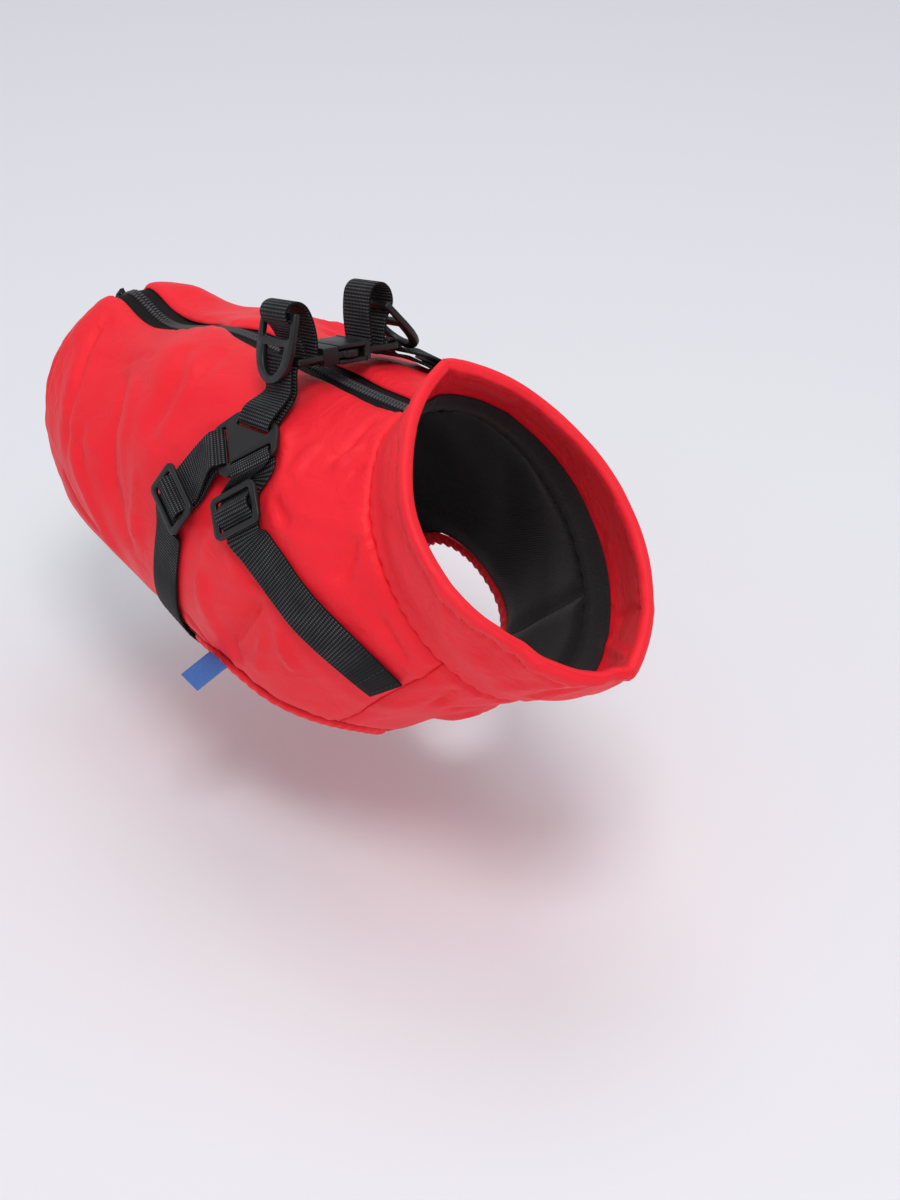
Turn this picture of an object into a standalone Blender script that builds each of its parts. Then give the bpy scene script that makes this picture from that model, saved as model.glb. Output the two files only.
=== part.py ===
"""Dog vest with a built-in webbing harness, in its worn form.

The cloth is a set of thin panels on one surface, measured by a station (0 at the tail, 1 at the
neck seam, 4/3 at the collar's rim) and an angle (0 on the back, 90 on the dog's right side, 180
under the belly). Straps and hardware lie on that surface. Metres, +X to the head, +Y to the
dog's left, +Z up. The origin is on the back, under the buckle.
"""

import math

import bmesh
import bpy
from mathutils import Matrix, Vector
from mathutils.geometry import delaunay_2d_cdt

for old in list(bpy.data.objects):
    bpy.data.objects.remove(old, do_unlink=True)

MM = 0.001
GAP = 0.3  # between pieces that touch, in mm like every size below

# Rings from the tail to the collar's rim: the middle of the back, the middle of the belly,
# half the width on the right and on the left, where the collar leans in against the neck, and
# how full the back and the belly are (below 1 is fuller than an ellipse).
# top_x, top_z, bottom_x, bottom_z, half_right, half_left, full_back, full_belly
RINGS = (
    (-187, -38, -182, -140, 48, 48, 0.90, 0.90),  # tail hem
    (-172, -27, -166, -150, 58, 58, 0.90, 0.92),  # crest of the rump
    (-138, -32, -124, -156, 69.5, 69.5, 0.82, 1.12),  # rump
    (-82, -14, -52, -166, 75, 75, 0.80, 1.08),  # waist
    (-15, -8, 28, -173, 79, 79, 0.84, 0.86),  # girth
    (22, -5, 88, -133, 71, 71, 0.88, 0.98),  # shoulder
    (50, 0, 134, -101, 50, 50, 0.95, 0.95),  # neck seam
    (60, 14, 160, -86, 54, 48, 1.15, 1.15),  # middle of the collar
    (68, 28, 182, -63, 56, 42, 1.50, 1.50),  # rim of the collar
)
NECK_RING = 6  # this ring has station 1
ALONG = 260  # mm of back per station
AROUND = 74  # mm of cloth per radian
PIECE = 16.0  # mm between the corners of the facets
CLOTH = 2.2  # padded shell cloth
LINING = 1.0
TAPE = 1.0
WEBBING = 1.3
STRAP_WIDTH = 20
STRAP_LIFT = 1.35  # middle of a strap that lies on the cloth
HARNESS_SHIFT = 0.03  # how far forward the left half of the harness has slipped

# Largest folds: ridges (+) and troughs (-) along a line from one place to another.
# station_a, angle_a, station_b, angle_b, width, height
FOLDS = (
    (0.38, 30, 0.47, 76, 15, -3.0),
    (0.28, 36, 0.34, 74, 17, 2.0),
    (0.49, 20, 0.53, 56, 18, 2.2),
    (0.78, 84, 0.67, 108, 17, -2.4),
    (0.82, 56, 0.96, 64, 16, 1.8),
    (0.34, 19, 0.58, 23, 17, 2.4),
    (0.24, -24, 0.46, -26, 18, 3.4),
    (0.49, -26, 0.56, -31, 13, -2.8),
    (0.36, -40, 0.45, -78, 16, -2.6),
    (0.52, -34, 0.60, -72, 18, 2.2),
    (0.76, -82, 0.69, -112, 17, -2.4),
    (0.45, 168, 0.60, 196, 18, 2.0),
)

# Half the opening over the zip, from the tail to the neck; the cloth closes over it in between.
# station, half_gap
ZIP_OPENING = ((0.0, 9.5), (0.30, 9.5), (0.42, 7.5), (0.47, 1.2), (0.52, 7.0), (0.60, 8.0),
               (0.80, 7.5), (0.88, 8.0), (0.985, 7.0))
TAPE_INNER, TAPE_OUTER = 3.2, 13.5
TAPE_ROOM = 0.80  # under the cloth, where the folds bend the layers unevenly
CHAIN_HALF, CHAIN_HIGH = 2.8, 2.6

# Rear hem and side seam on the right side; the left side mirrors them.
# station, angle
REAR_HEM = ((0.0, 40), (0.0, 70), (0.015, 90), (0.05, 103), (0.11, 113), (0.18, 122), (0.27, 131))
BELLY_HEM = ((0.33, 143), (0.37, 158), (0.385, 180))
FRONT_SEAM = ((0.797, 140), (0.842, 135.5), (0.887, 131.7), (0.94, 127.7), (1.0, 123))
ARMHOLE_AT, ARMHOLE_TURN = (0.651, 141), 62
ARMHOLE_LONG, ARMHOLE_HIGH = 38.5, 23.5  # half sizes
BINDING_WIDTH = 4.2
SEAM_AT_REAR, SEAM_AT_FRONT = 130, 289  # where the seams meet the armhole, around its middle

# Lines that the straps follow, from the plate outwards.  station, angle
CHEST_LINE = ((0.742, 43), (0.734, 49), (0.735, 54), (0.746, 59), (0.770, 66), (0.800, 74),
              (0.827, 82.5), (0.852, 92), (0.872, 102), (0.884, 112), (0.888, 121), (0.887, 128))
GIRTH_LINE = ((0.655, 45), (0.632, 54), (0.607, 64), (0.595, 74), (0.585, 83), (0.572, 93),
              (0.555, 104), (0.538, 115), (0.524, 130), (0.513, 150), (0.507, 166), (0.506, 180))
CHEST_SLIDER, GIRTH_SLIDER = 20, 27  # mm along each line
SLIDER_LIFT = 5.9  # from the cloth to the slider's mid-plane
SLIDER_LONG, SLIDER_WIDE, SLIDER_THICK = 19.2, 28.0, 2.2
SLIDER_BAR, SLIDER_SLOT = 3.0, 5.3  # the middle bar, and the slot on each side of it

# The plate that joins three straps: its arms point to the back, to the rear and to the front.
PLATE_AT = (0.702, 34.5)
PLATE_LIFT = 4.0
PLATE_THICK = 2.4
PLATE_ARMS = ((90, 9.0), (225, 16.8), (315, 16.8))  # direction, and reach from the middle
PLATE_BAR, PLATE_SLOT, PLATE_HALF = 2.6, 3.8, 12.6
SLOT_HALF = 10.45

# The buckle over the zip; each end is a ladder with an outer and an inner bar.
BUCKLE_AT = (-6.5, -1.5, 3.2)
BUCKLE_LEAN = (-8.3, -15.4, -1.0)  # degrees: its left end dips, its front edge is raised
BAR_WIDE, LADDER_THICK, LADDER_HALF = 2.6, 2.6, 13.2
BAR_OUTER, BAR_INNER = 24.7, 17.3  # from the middle of the buckle
BODY_END = 12.2  # where each ladder joins its half of the buckle

# The leash rings and the loops that hold them, out from the buckle's middle and up.
RING_AXIS = {1: (25.0, 19.0), -1: (22.0, 17.5)}  # right, left
RING_TILT = {1: 15, -1: 42}  # how far each leans out, in degrees
RING_THICK, RING_BAR = 3.0, 1.5
RING_SLOT_END, RING_HOLE_START, RING_HOLE_END, RING_REACH = 9.5, 13.0, 25.6, 29.2
LOOP = {1: ((17.3, -2.4), (19.2, -1.7), (19.8, 0.5), (20.5, 5.0), (22.0, 9.8), (24.2, 13.8),
            (26.4, 16.2), (28.2, 18.2), (28.5, 21.0), (26.9, 23.6), (23.9, 24.7), (20.4, 24.0),
            (17.4, 21.2), (15.3, 16.0), (14.2, 10.0), (14.1, 4.5), (14.4, 0.5), (15.3, -1.7)),
        -1: ((17.3, -2.4), (19.2, -1.7), (19.8, 0.5), (20.6, 4.5), (21.6, 8.5), (22.6, 12.0),
             (24.4, 15.2), (25.9, 18.0), (26.0, 21.4), (24.7, 24.8), (21.8, 27.1), (18.2, 27.0),
             (15.4, 24.3), (14.1, 19.0), (13.6, 12.5), (13.8, 6.5), (14.3, 1.0), (15.3, -1.7))}
# How each yoke strap leaves the buckle, over the bar and under it.
YOKE_OVER = {1: ((26.4, 2.0), (27.3, 0.4), (27.8, -3.0), (28.4, -8.0), (29.8, -13.5)),
             -1: ((26.4, 2.0), (27.6, 0.4), (29.8, -2.2), (33.8, -4.5))}
YOKE_UNDER = {1: ((27.2, -15.0), (25.9, -9.0), (25.5, -5.0)),
              -1: ((33.6, -6.7), (29.6, -5.9), (26.6, -4.3))}

ZIP_SLIDER_AT = 0.031  # station of its middle
CHAIN_START = 0.0335  # the chain starts inside the slider
PULL_LONG, PULL_THICK = 21.0, 1.3
LABEL_WIDE, LABEL_LONG, LABEL_THICK = 13.0, 17.0, 1.0
LABEL_TURN = 206  # its place on the armhole's edge


def smooth_rows(rows, at):
    """A row of a table at a real-numbered place, on a Catmull-Rom curve through the rows."""
    last = len(rows) - 1
    i = max(0, min(last - 1, int(math.floor(at))))
    u = at - i
    p0, p1, p2, p3 = (rows[max(0, min(last, i + k))] for k in (-1, 0, 1, 2))
    out = []
    for a, b, c, d in zip(p0, p1, p2, p3):
        m1 = (c - a) / 2 if i > 0 else c - b
        m2 = (d - b) / 2 if i < last - 1 else c - b
        out.append((2 * u**3 - 3 * u**2 + 1) * b + (u**3 - 2 * u**2 + u) * m1
                   + (3 * u**2 - 2 * u**3) * c + (u**3 - u**2) * m2)
    return out


def table(rows, at):
    """A value from a two-column table, on straight lines between its rows."""
    for (a, va), (b, vb) in zip(rows, rows[1:]):
        if at <= b:
            return va + (vb - va) * max(0.0, (at - a) / (b - a))
    return rows[-1][1]


def ring_point(station, angle):
    """A place on the smooth form, without folds, in mm."""
    row = smooth_rows(RINGS, station * NECK_RING)
    top_x, top_z, low_x, low_z, right, left, full, low_full = row
    turn = math.radians(angle)
    down = (1 - math.cos(turn)) / 2
    side = math.sin(turn)
    half = right if side > 0 else left
    across = half * math.copysign(abs(side) ** (full if down < 0.5 else low_full), side)
    return Vector((top_x + (low_x - top_x) * down, -across, top_z + (low_z - top_z) * down))


def ring_normal(station, angle):
    """The outward normal of the smooth form."""
    e = 0.004
    along = ring_point(station + e, angle) - ring_point(station - e, angle)
    wide = 4.0
    around = ring_point(station, angle + wide) - ring_point(station, angle - wide)
    return around.cross(along).normalized()


def flat_place(station, angle):
    """The same place on the flat pattern, in mm."""
    return station * ALONG, math.radians(angle) * AROUND


def fold_height(station, angle):
    """How far the folds lift the cloth at a place."""
    high = 0.0
    for sa, aa, sb, ab, width, height in FOLDS:
        for turn in (-360, 0, 360):
            px, py = flat_place(station, angle + turn)
            ax, ay = flat_place(sa, aa)
            bx, by = flat_place(sb, ab)
            dx, dy = bx - ax, by - ay
            t = max(0.0, min(1.0, ((px - ax) * dx + (py - ay) * dy) / (dx * dx + dy * dy)))
            away = math.hypot(px - ax - t * dx, py - ay - t * dy)
            if away < 3 * width:
                high += height * math.exp(-((away / width) ** 2) * 2)
    return high


def cloth(station, angle, out=0.0):
    """A place on the cloth, in mm; out is the distance from its outer face."""
    normal = ring_normal(station, angle)
    return ring_point(station, angle) + normal * (fold_height(station, angle) + out)


def material(name, colour, rough, metal=0.0):
    """A Principled material from an sRGB hex colour."""
    found = bpy.data.materials.get(name)
    if found:
        return found
    made = bpy.data.materials.new(name)
    made.use_nodes = True
    shader = made.node_tree.nodes["Principled BSDF"]
    parts = [int(colour[i:i + 2], 16) / 255 for i in (0, 2, 4)]
    linear = [c / 12.92 if c <= 0.04045 else ((c + 0.055) / 1.055) ** 2.4 for c in parts]
    shader.inputs["Base Color"].default_value = (*linear, 1)
    shader.inputs["Roughness"].default_value = rough
    shader.inputs["Metallic"].default_value = metal
    return made


RED = material("red_nylon", "F5323F", 0.5)
BLACK_LINING = material("black_lining", "1B1A1C", 0.8)
BLACK_WEBBING = material("black_webbing", "232323", 0.75)
BLACK_TAPE = material("zip_tape", "2D2B2B", 0.8)
BLACK_PLASTIC = material("black_acetal", "2D2A2A", 0.4)
ZIP_METAL = material("black_zinc", "2A2A2C", 0.35, 0.9)
BLUE_LABEL = material("blue_satin_label", "3769B4", 0.6)


def make_object(name, verts, faces, slot, angle=40):
    """A closed body from points in mm, with its faces turned outwards."""
    mesh = bpy.data.meshes.new(name)
    mesh.from_pydata([tuple(Vector(v) * MM) for v in verts], [], faces)
    work = bmesh.new()
    work.from_mesh(mesh)
    bmesh.ops.recalc_face_normals(work, faces=work.faces)
    work.to_mesh(mesh)
    work.free()
    mesh.materials.append(slot)
    mesh.shade_smooth()
    mesh.set_sharp_from_angle(angle=math.radians(angle))
    made = bpy.data.objects.new(name, mesh)
    bpy.context.scene.collection.objects.link(made)
    return made


def thin_out(line, spacing):
    """A closed outline in flat mm, with points about one spacing apart on each of its runs."""
    out = []
    for i, a in enumerate(line):
        b = line[(i + 1) % len(line)]
        (ax, ay), (bx, by) = flat_place(*a), flat_place(*b)
        count = max(1, round(math.hypot(bx - ax, by - ay) / spacing))
        out += [(a[0] + (b[0] - a[0]) * k / count, a[1] + (b[1] - a[1]) * k / count)
                for k in range(count)]
    return out


def inside(x, y, line):
    """Whether a flat point lies inside an outline."""
    hit = False
    for (ax, ay), (bx, by) in zip(line, line[1:] + line[:1]):
        if (ay > y) != (by > y) and x < (bx - ax) * (y - ay) / (by - ay) + ax:
            hit = not hit
    return hit


def clear_of(x, y, line, room):
    """Whether a flat point lies at least that far from an outline."""
    for (ax, ay), (bx, by) in zip(line, line[1:] + line[:1]):
        dx, dy = bx - ax, by - ay
        t = max(0.0, min(1.0, ((x - ax) * dx + (y - ay) * dy) / (dx * dx + dy * dy + 1e-9)))
        if math.hypot(x - ax - t * dx, y - ay - t * dy) < room:
            return False
    return True


def cut_flat(outline, spacing):
    """The triangles of a flat pattern piece: its places and the faces between them."""
    edge = thin_out(outline, spacing)
    flat = [flat_place(*p) for p in edge]
    low_x, high_x = min(p[0] for p in flat), max(p[0] for p in flat)
    low_y, high_y = min(p[1] for p in flat), max(p[1] for p in flat)
    inner = []
    row = 0
    y = low_y + spacing / 2
    while y < high_y:
        x = low_x + spacing * (0.5 if row % 2 else 1.0)
        while x < high_x:
            if inside(x, y, flat) and clear_of(x, y, flat, spacing * 0.55):
                inner.append((x, y))
            x += spacing
        y += spacing * 0.87
        row += 1
    points = [Vector(p) for p in flat + inner]
    found = delaunay_2d_cdt(points, [], [list(range(len(flat)))], 1, 1e-5)
    places = [(p[0] / ALONG, math.degrees(p[1] / AROUND)) for p in found[0]]
    return places, [list(f) for f in found[2]]


def sew_wall(name, places, faces, out, thick, slot):
    """A flat piece laid on the form, with its outer face at out and its thickness inwards."""
    count = len(places)
    verts = [cloth(s, a, out) for s, a in places] + [cloth(s, a, out - thick) for s, a in places]
    used = {}
    for face in faces:
        for a, b in zip(face, face[1:] + face[:1]):
            used[(a, b)] = used.get((a, b), 0) + 1
    rim = [(a, b) for (a, b) in used if (b, a) not in used]
    walls = [[a, b, b + count, a + count] for a, b in rim]
    back = [[v + count for v in reversed(face)] for face in faces]
    return make_object(name, verts, faces + back + [w[::-1] for w in walls], slot)


def armhole(turn, grow=0.0):
    """A place on the armhole's edge; turn runs round its middle in degrees."""
    t, lean = math.radians(turn), math.radians(ARMHOLE_TURN)
    u, v = (ARMHOLE_LONG + grow) * math.cos(t), (ARMHOLE_HIGH + grow) * math.sin(t)
    x, y = flat_place(*ARMHOLE_AT)
    x += u * math.cos(lean) - v * math.sin(lean)
    y += u * math.sin(lean) + v * math.cos(lean)
    return x / ALONG, math.degrees(y / AROUND)


def armhole_run(first, last, count):
    """Places along the armhole's edge, both ends included."""
    return [armhole(first + (last - first) * i / count) for i in range(count + 1)]


def zip_angle(station, half):
    """The angle that lies a given distance from the middle of the back."""
    row = smooth_rows(RINGS, station * NECK_RING)
    return math.degrees(math.asin(min(1.0, (half / row[4]) ** (1 / row[6]))))


def moved(places, stations=0.0, angles=0.0):
    return [(s + stations, a + angles) for s, a in places]


def side_outline(zip_room=0.0):
    """The right side panel: neck, front seam, armhole, belly seam, hem, and the zip's edge."""
    half = math.degrees(GAP / 2 / AROUND)
    neck = 1 - GAP / 2 / ALONG
    front = [(min(s, neck), a - half) for s, a in reversed(FRONT_SEAM)]
    top = armhole_run(SEAM_AT_FRONT, SEAM_AT_REAR, 12)
    rear = moved([(s, a) for s, a in ((0.45, 131), REAR_HEM[-1])], angles=-half)
    hem = list(reversed(REAR_HEM[:-1]))
    opening = []
    for i in range(23):
        station = 0.0 + neck * i / 22
        wide = max(table(ZIP_OPENING, station), zip_room)
        opening.append((station, zip_angle(station, wide)))
    across = [(neck, a) for a in (30, 50, 70, 90, 105)]
    return across + front + moved(top, angles=-half) + rear + hem + opening


def chest_outline():
    """The chest and belly panel, from the right seam under the body to the left one."""
    half = math.degrees(GAP / 2 / AROUND)
    neck = 1 - GAP / 2 / ALONG
    front = [(min(s, neck), a + half) for s, a in FRONT_SEAM]
    hole = armhole_run(SEAM_AT_FRONT, SEAM_AT_REAR + 360, 26)
    rear = moved([(s, a) for s, a in ((0.45, 131), REAR_HEM[-1])], angles=half)
    right = list(reversed(front)) + moved(hole, angles=half) + rear + list(BELLY_HEM)
    left = [(s, 360 - a) for s, a in reversed(right[:-1])]
    across = [(neck, a) for a in (222, 201, 180, 159, 138)]
    return right + left + across


def mirrored(places):
    return [(s, -a) for s, a in places]


def sew_panels():
    """The shell panels and, inside them, the lining cut on the same triangles."""
    inner = -CLOTH - TAPE - 2 * TAPE_ROOM
    side_places, side_faces = cut_flat(side_outline(), PIECE)
    line_places, line_faces = cut_flat(side_outline(CHAIN_HALF + 3), PIECE)
    chest_places, chest_faces = cut_flat(chest_outline(), PIECE)
    flipped = [f[::-1] for f in side_faces]
    sew_wall("side_right", side_places, side_faces, 0, CLOTH, RED)
    sew_wall("side_left", mirrored(side_places), flipped, 0, CLOTH, RED)
    sew_wall("chest_panel", chest_places, chest_faces, 0, CLOTH, RED)
    sew_wall("lining_right", line_places, line_faces, inner, LINING, BLACK_LINING)
    sew_wall("lining_left", mirrored(line_places), [f[::-1] for f in line_faces], inner, LINING,
             BLACK_LINING)
    sew_wall("lining_chest", chest_places, chest_faces, inner, LINING, BLACK_LINING)


def hoop(name, stations, count, out, thick, slot):
    """A closed band all round the form, between a first and a last station."""
    verts, faces = [], []
    angles = [360 * i / count for i in range(count)]
    loop = [(s, out) for s in stations] + [(s, out - thick) for s in reversed(stations)]
    for a in angles:
        verts += [cloth(s, a, o) for s, o in loop]
    n = len(loop)
    for i in range(count):
        for j in range(n):
            a, b = i * n + j, i * n + (j + 1) % n
            c, d = ((i + 1) % count) * n + (j + 1) % n, ((i + 1) % count) * n + j
            faces.append([a, b, c, d])
    return make_object(name, verts, faces, slot)


def sew_collar():
    """The stand-up collar, and the dark lining in its lower half."""
    first = 1 + GAP / ALONG
    rim = (len(RINGS) - 1) / NECK_RING
    rows = [first + (rim - first) * i / 5 for i in range(6)]
    hoop("collar", rows, 48, 0, CLOTH, RED)
    low = [first + (rim - first) * i * 0.11 for i in range(4)]
    hoop("collar_lining", low, 48, -CLOTH - GAP - 0.2, LINING, BLACK_LINING)


def sew_binding(name, side):
    """The bound edge of an armhole, 4 mm wide, set in its opening."""
    verts, faces = [], []
    count = 44
    deep = -CLOTH - 0.4
    section = ((-GAP, 0.4), (-BINDING_WIDTH, 0.4), (-BINDING_WIDTH, deep), (-GAP, deep))
    for i in range(count):
        for grow, out in section:
            s, a = armhole(360 * i / count, grow - 0.2)
            verts.append(cloth(s, side * a, out))
    for i in range(count):
        for j in range(4):
            k = (i + 1) % count
            faces.append([i * 4 + j, i * 4 + (j + 1) % 4, k * 4 + (j + 1) % 4, k * 4 + j])
    return make_object(name, verts, faces, RED)


def back_strip(name, low, high, out, thick, slot, first, last, count):
    """A strip along the middle of the back, between two distances from the centre line."""
    verts, faces = [], []
    columns = 3
    for i in range(count + 1):
        s = first + (last - first) * i / count
        for side_out in (out, out - thick):
            for j in range(columns + 1):
                y = low + (high - low) * j / columns
                a = math.copysign(zip_angle(s, abs(y)), y)
                verts.append(cloth(s, a, side_out))
    n = 2 * (columns + 1)
    ring = list(range(columns + 1)) + [columns + 1 + j for j in reversed(range(columns + 1))]
    for i in range(count):
        for j in range(n):
            a, b = ring[j], ring[(j + 1) % n]
            faces.append([i * n + a, i * n + b, (i + 1) * n + b, (i + 1) * n + a])
    faces.append([ring[j] for j in range(n)])
    faces.append([count * n + ring[j] for j in reversed(range(n))])
    return make_object(name, verts, faces, slot)


def lay_zip():
    """The tapes under the edges of the opening, the closed chain, the slider and its pull."""
    top = -CLOTH - TAPE_ROOM
    ends = (0.004, 0.985)
    back_strip("zip_tape_right", TAPE_INNER, TAPE_OUTER, top, TAPE, BLACK_TAPE, *ends, 30)
    back_strip("zip_tape_left", -TAPE_INNER, -TAPE_OUTER, top, TAPE, BLACK_TAPE, *ends, 30)
    back_strip("zip_chain", -CHAIN_HALF, CHAIN_HALF, top + 0.2, CHAIN_HIGH, BLACK_TAPE,
               CHAIN_START, 0.98, 30)


def put(body, frame):
    """Place a body that was drawn round its own origin."""
    place = frame.copy()
    place.translation = frame.translation * MM
    body.matrix_world = place
    return body


def plate_with_holes(name, outline, holes, thick, frame, slot):
    """A flat plate with holes, both flat outlines in mm, with its origin at the frame's."""
    rings = [outline] + holes
    flat, loops = [], []
    for ring in rings:
        loops.append(list(range(len(flat), len(flat) + len(ring))))
        flat += [Vector(p) for p in ring]
    edges = [(r[i], r[(i + 1) % len(r)]) for r in loops for i in range(len(r))]
    found = delaunay_2d_cdt(flat, edges, [], 0, 1e-5)
    places = [(p[0], p[1]) for p in found[0]]
    faces = []
    for face in found[2]:
        x = sum(places[i][0] for i in face) / len(face)
        y = sum(places[i][1] for i in face) / len(face)
        if inside(x, y, outline) and not any(inside(x, y, h) for h in holes):
            faces.append(list(face))
    count = len(places)
    used = {(a, b) for f in faces for a, b in zip(f, f[1:] + f[:1])}
    rim = [(a, b) for a, b in used if (b, a) not in used]
    verts = [(x, y, thick / 2) for x, y in places]
    verts += [(x, y, -thick / 2) for x, y in places]
    back = [[v + count for v in reversed(f)] for f in faces]
    walls = [[b, a, a + count, b + count] for a, b in rim]
    return put(make_object(name, verts, faces + back + walls, slot), frame)


def rounded(half_x, half_y, radius, steps=3, middle=(0, 0)):
    """A rectangle with round corners, as an outline."""
    out = []
    for cx, cy, start in ((1, 1, 0), (-1, 1, 90), (-1, -1, 180), (1, -1, 270)):
        for i in range(steps + 1):
            t = math.radians(start + 90 * i / steps)
            out.append((middle[0] + cx * (half_x - radius) + radius * math.cos(t),
                        middle[1] + cy * (half_y - radius) + radius * math.sin(t)))
    return out


def frame_from(origin, x_axis, z_axis):
    """A placing matrix from an origin and two directions."""
    z = z_axis.normalized()
    y = z.cross(x_axis).normalized()
    x = y.cross(z)
    rows = Matrix((x, y, z)).transposed().to_4x4()
    return Matrix.Translation(origin) @ rows


class Line:
    """A line on the cloth through a few places, measured in mm from its start.

    A shift in stations moves its first half, and fades out towards its end.
    """

    def __init__(self, rows, side=1, shift=0.0):
        fine = []
        count = (len(rows) - 1) * 8
        for i in range(count + 1):
            s, a = smooth_rows(rows, i / 8)
            fine.append((s + shift * min(1.0, 2 - 2 * i / count), side * a))
        self.places = fine
        self.side = side
        self.at = [0.0]
        for (s0, a0), (s1, a1) in zip(fine, fine[1:]):
            step = (cloth(s1, a1) - cloth(s0, a0)).length
            self.at.append(self.at[-1] + step)
        self.length = self.at[-1]

    def place(self, d):
        d = max(0.0, min(self.length, d))
        for i in range(len(self.at) - 1):
            if d <= self.at[i + 1]:
                t = (d - self.at[i]) / (self.at[i + 1] - self.at[i])
                (s0, a0), (s1, a1) = self.places[i], self.places[i + 1]
                return s0 + (s1 - s0) * t, a0 + (a1 - a0) * t
        return self.places[-1]

    def frame(self, d, lift=0.0):
        """At a distance: x along the line, z out of the cloth, y across the strap."""
        s, a = self.place(d)
        s0, a0 = self.place(d - 2)
        s1, a1 = self.place(d + 2)
        normal = ring_normal(s, a)
        along = cloth(s1, a1) - cloth(s0, a0)
        return frame_from(cloth(s, a) + normal * lift, along, normal)


def strap(name, stops, slot=None, width=STRAP_WIDTH, thick=WEBBING, closed=False, fine=3):
    """Webbing along stops: each is a point and the direction across the strap."""
    rows = [(*p, *w) for p, w in stops]
    if closed:
        rows = rows[-2:] + rows + rows[:2]
        ats = [2 + i / fine for i in range((len(rows) - 4) * fine)]
    else:
        ats = [i / fine for i in range((len(rows) - 1) * fine + 1)]
    values = [smooth_rows(rows, at) for at in ats]
    points = [Vector(v[:3]) for v in values]
    wides = [Vector(v[3:]).normalized() for v in values]
    count = len(points)
    verts, faces = [], []
    for i, (p, w) in enumerate(zip(points, wides)):
        if closed:
            along = points[(i + 1) % count] - points[i - 1]
        else:
            along = points[min(i + 1, count - 1)] - points[max(i - 1, 0)]
        up = along.cross(w).normalized() * (thick / 2)
        side = w * (width / 2)
        verts += [p + side + up, p - side + up, p - side - up, p + side - up]
    for i in range(count if closed else count - 1):
        k = (i + 1) % count
        for j in range(4):
            m = (j + 1) % 4
            faces.append([i * 4 + j, i * 4 + m, k * 4 + m, k * 4 + j])
    if not closed:
        faces.append([3, 2, 1, 0])
        faces.append([(count - 1) * 4 + j for j in range(4)])
    return make_object(name, verts, faces, slot or BLACK_WEBBING)


def stop(frame, x, z):
    """A stop of a strap in the frame of a piece of hardware or of a line."""
    return frame @ Vector((x, 0, z)), (frame.to_3x3() @ Vector((0, 1, 0)))


def on_line(line, d, lift):
    return stop(line.frame(d), 0, lift)


def arm_frame(side, shift, direction):
    """A frame in the middle of the yoke plate with x along one arm and z out of the cloth."""
    s, a = PLATE_AT[0] + shift, side * PLATE_AT[1]
    normal = ring_normal(s, a)
    forward = cloth(s + 0.01, a) - cloth(s - 0.01, a)
    frame = frame_from(cloth(s, a) + normal * PLATE_LIFT, forward, normal)
    return frame @ Matrix.Rotation(math.radians(side * direction), 4, "Z")


def turned(points, angle):
    t = math.radians(angle)
    return [(x * math.cos(t) - y * math.sin(t), x * math.sin(t) + y * math.cos(t))
            for x, y in points]


def round_corners(outline, radius):
    """An outline with each corner cut by a short curve."""
    out = []
    for i, corner in enumerate(outline):
        p = Vector(corner)
        a, b = Vector(outline[i - 1]), Vector(outline[(i + 1) % len(outline)])
        start = p + (a - p).normalized() * min(radius, (a - p).length / 2.2)
        end = p + (b - p).normalized() * min(radius, (b - p).length / 2.2)
        for t in (0, 0.33, 0.67, 1):
            out.append(tuple(start * (1 - t) ** 2 + p * 2 * t * (1 - t) + end * t * t))
    return out


def mould_plate(name, side, shift):
    """The flat plastic plate that joins three straps, with a slot behind each of its bars."""
    holes, outline = [], []
    for direction, reach in PLATE_ARMS:
        middle = reach - PLATE_BAR - PLATE_SLOT / 2
        hole = rounded(PLATE_SLOT / 2, SLOT_HALF, 1.0, 2, (middle, 0))
        holes.append(turned(hole, direction))
        outline += turned([(reach, -PLATE_HALF), (reach, PLATE_HALF)], direction)
    outline = round_corners(outline, 3.0)
    if side < 0:
        outline = [(x, -y) for x, y in reversed(outline)]
        holes = [[(x, -y) for x, y in reversed(h)] for h in holes]
    plate_with_holes(name, outline, holes, PLATE_THICK, arm_frame(side, shift, 0), BLACK_PLASTIC)


def around_plate(side, shift, arm):
    """Stops of a strap that comes in over a bar of the plate, and goes back under it."""
    direction, reach = PLATE_ARMS[arm]
    frame = arm_frame(side, shift, direction)
    bar, hole = reach - PLATE_BAR / 2, reach - PLATE_BAR - PLATE_SLOT / 2
    high = PLATE_THICK / 2 + GAP + 0.05 + WEBBING / 2
    ways = ((bar + 4.5, high - 0.1), (bar, high), (hole + 0.75, 1.55), (hole + 0.05, 0),
            (hole + 0.75, -1.55), (bar, -high), (bar + 4.5, -high))
    return [stop(frame, x, z) for x, z in ways]


def around_slider(frame):
    """Stops of a strap that goes up through one slot, over the bar and down the other."""
    half = ((11.6, -2.7), (9.0, -2.5), (6.7, -2.15), (4.15, 0.0), (1.7, 2.1), (0.0, 2.35))
    ways = [(-x, z) for x, z in half] + list(reversed(half))[1:]
    return [stop(frame, x, z) for x, z in ways]


def mould_slider(name, frame):
    """A three-bar strap slider."""
    middle = SLIDER_BAR / 2 + SLIDER_SLOT / 2
    outline = rounded(SLIDER_LONG / 2, SLIDER_WIDE / 2, 3.2, 3)
    holes = [rounded(SLIDER_SLOT / 2, SLOT_HALF + 0.15, 1.0, 2, (way * middle, 0))
             for way in (-1, 1)]
    plate_with_holes(name, outline, holes, SLIDER_THICK, frame, BLACK_PLASTIC)


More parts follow.
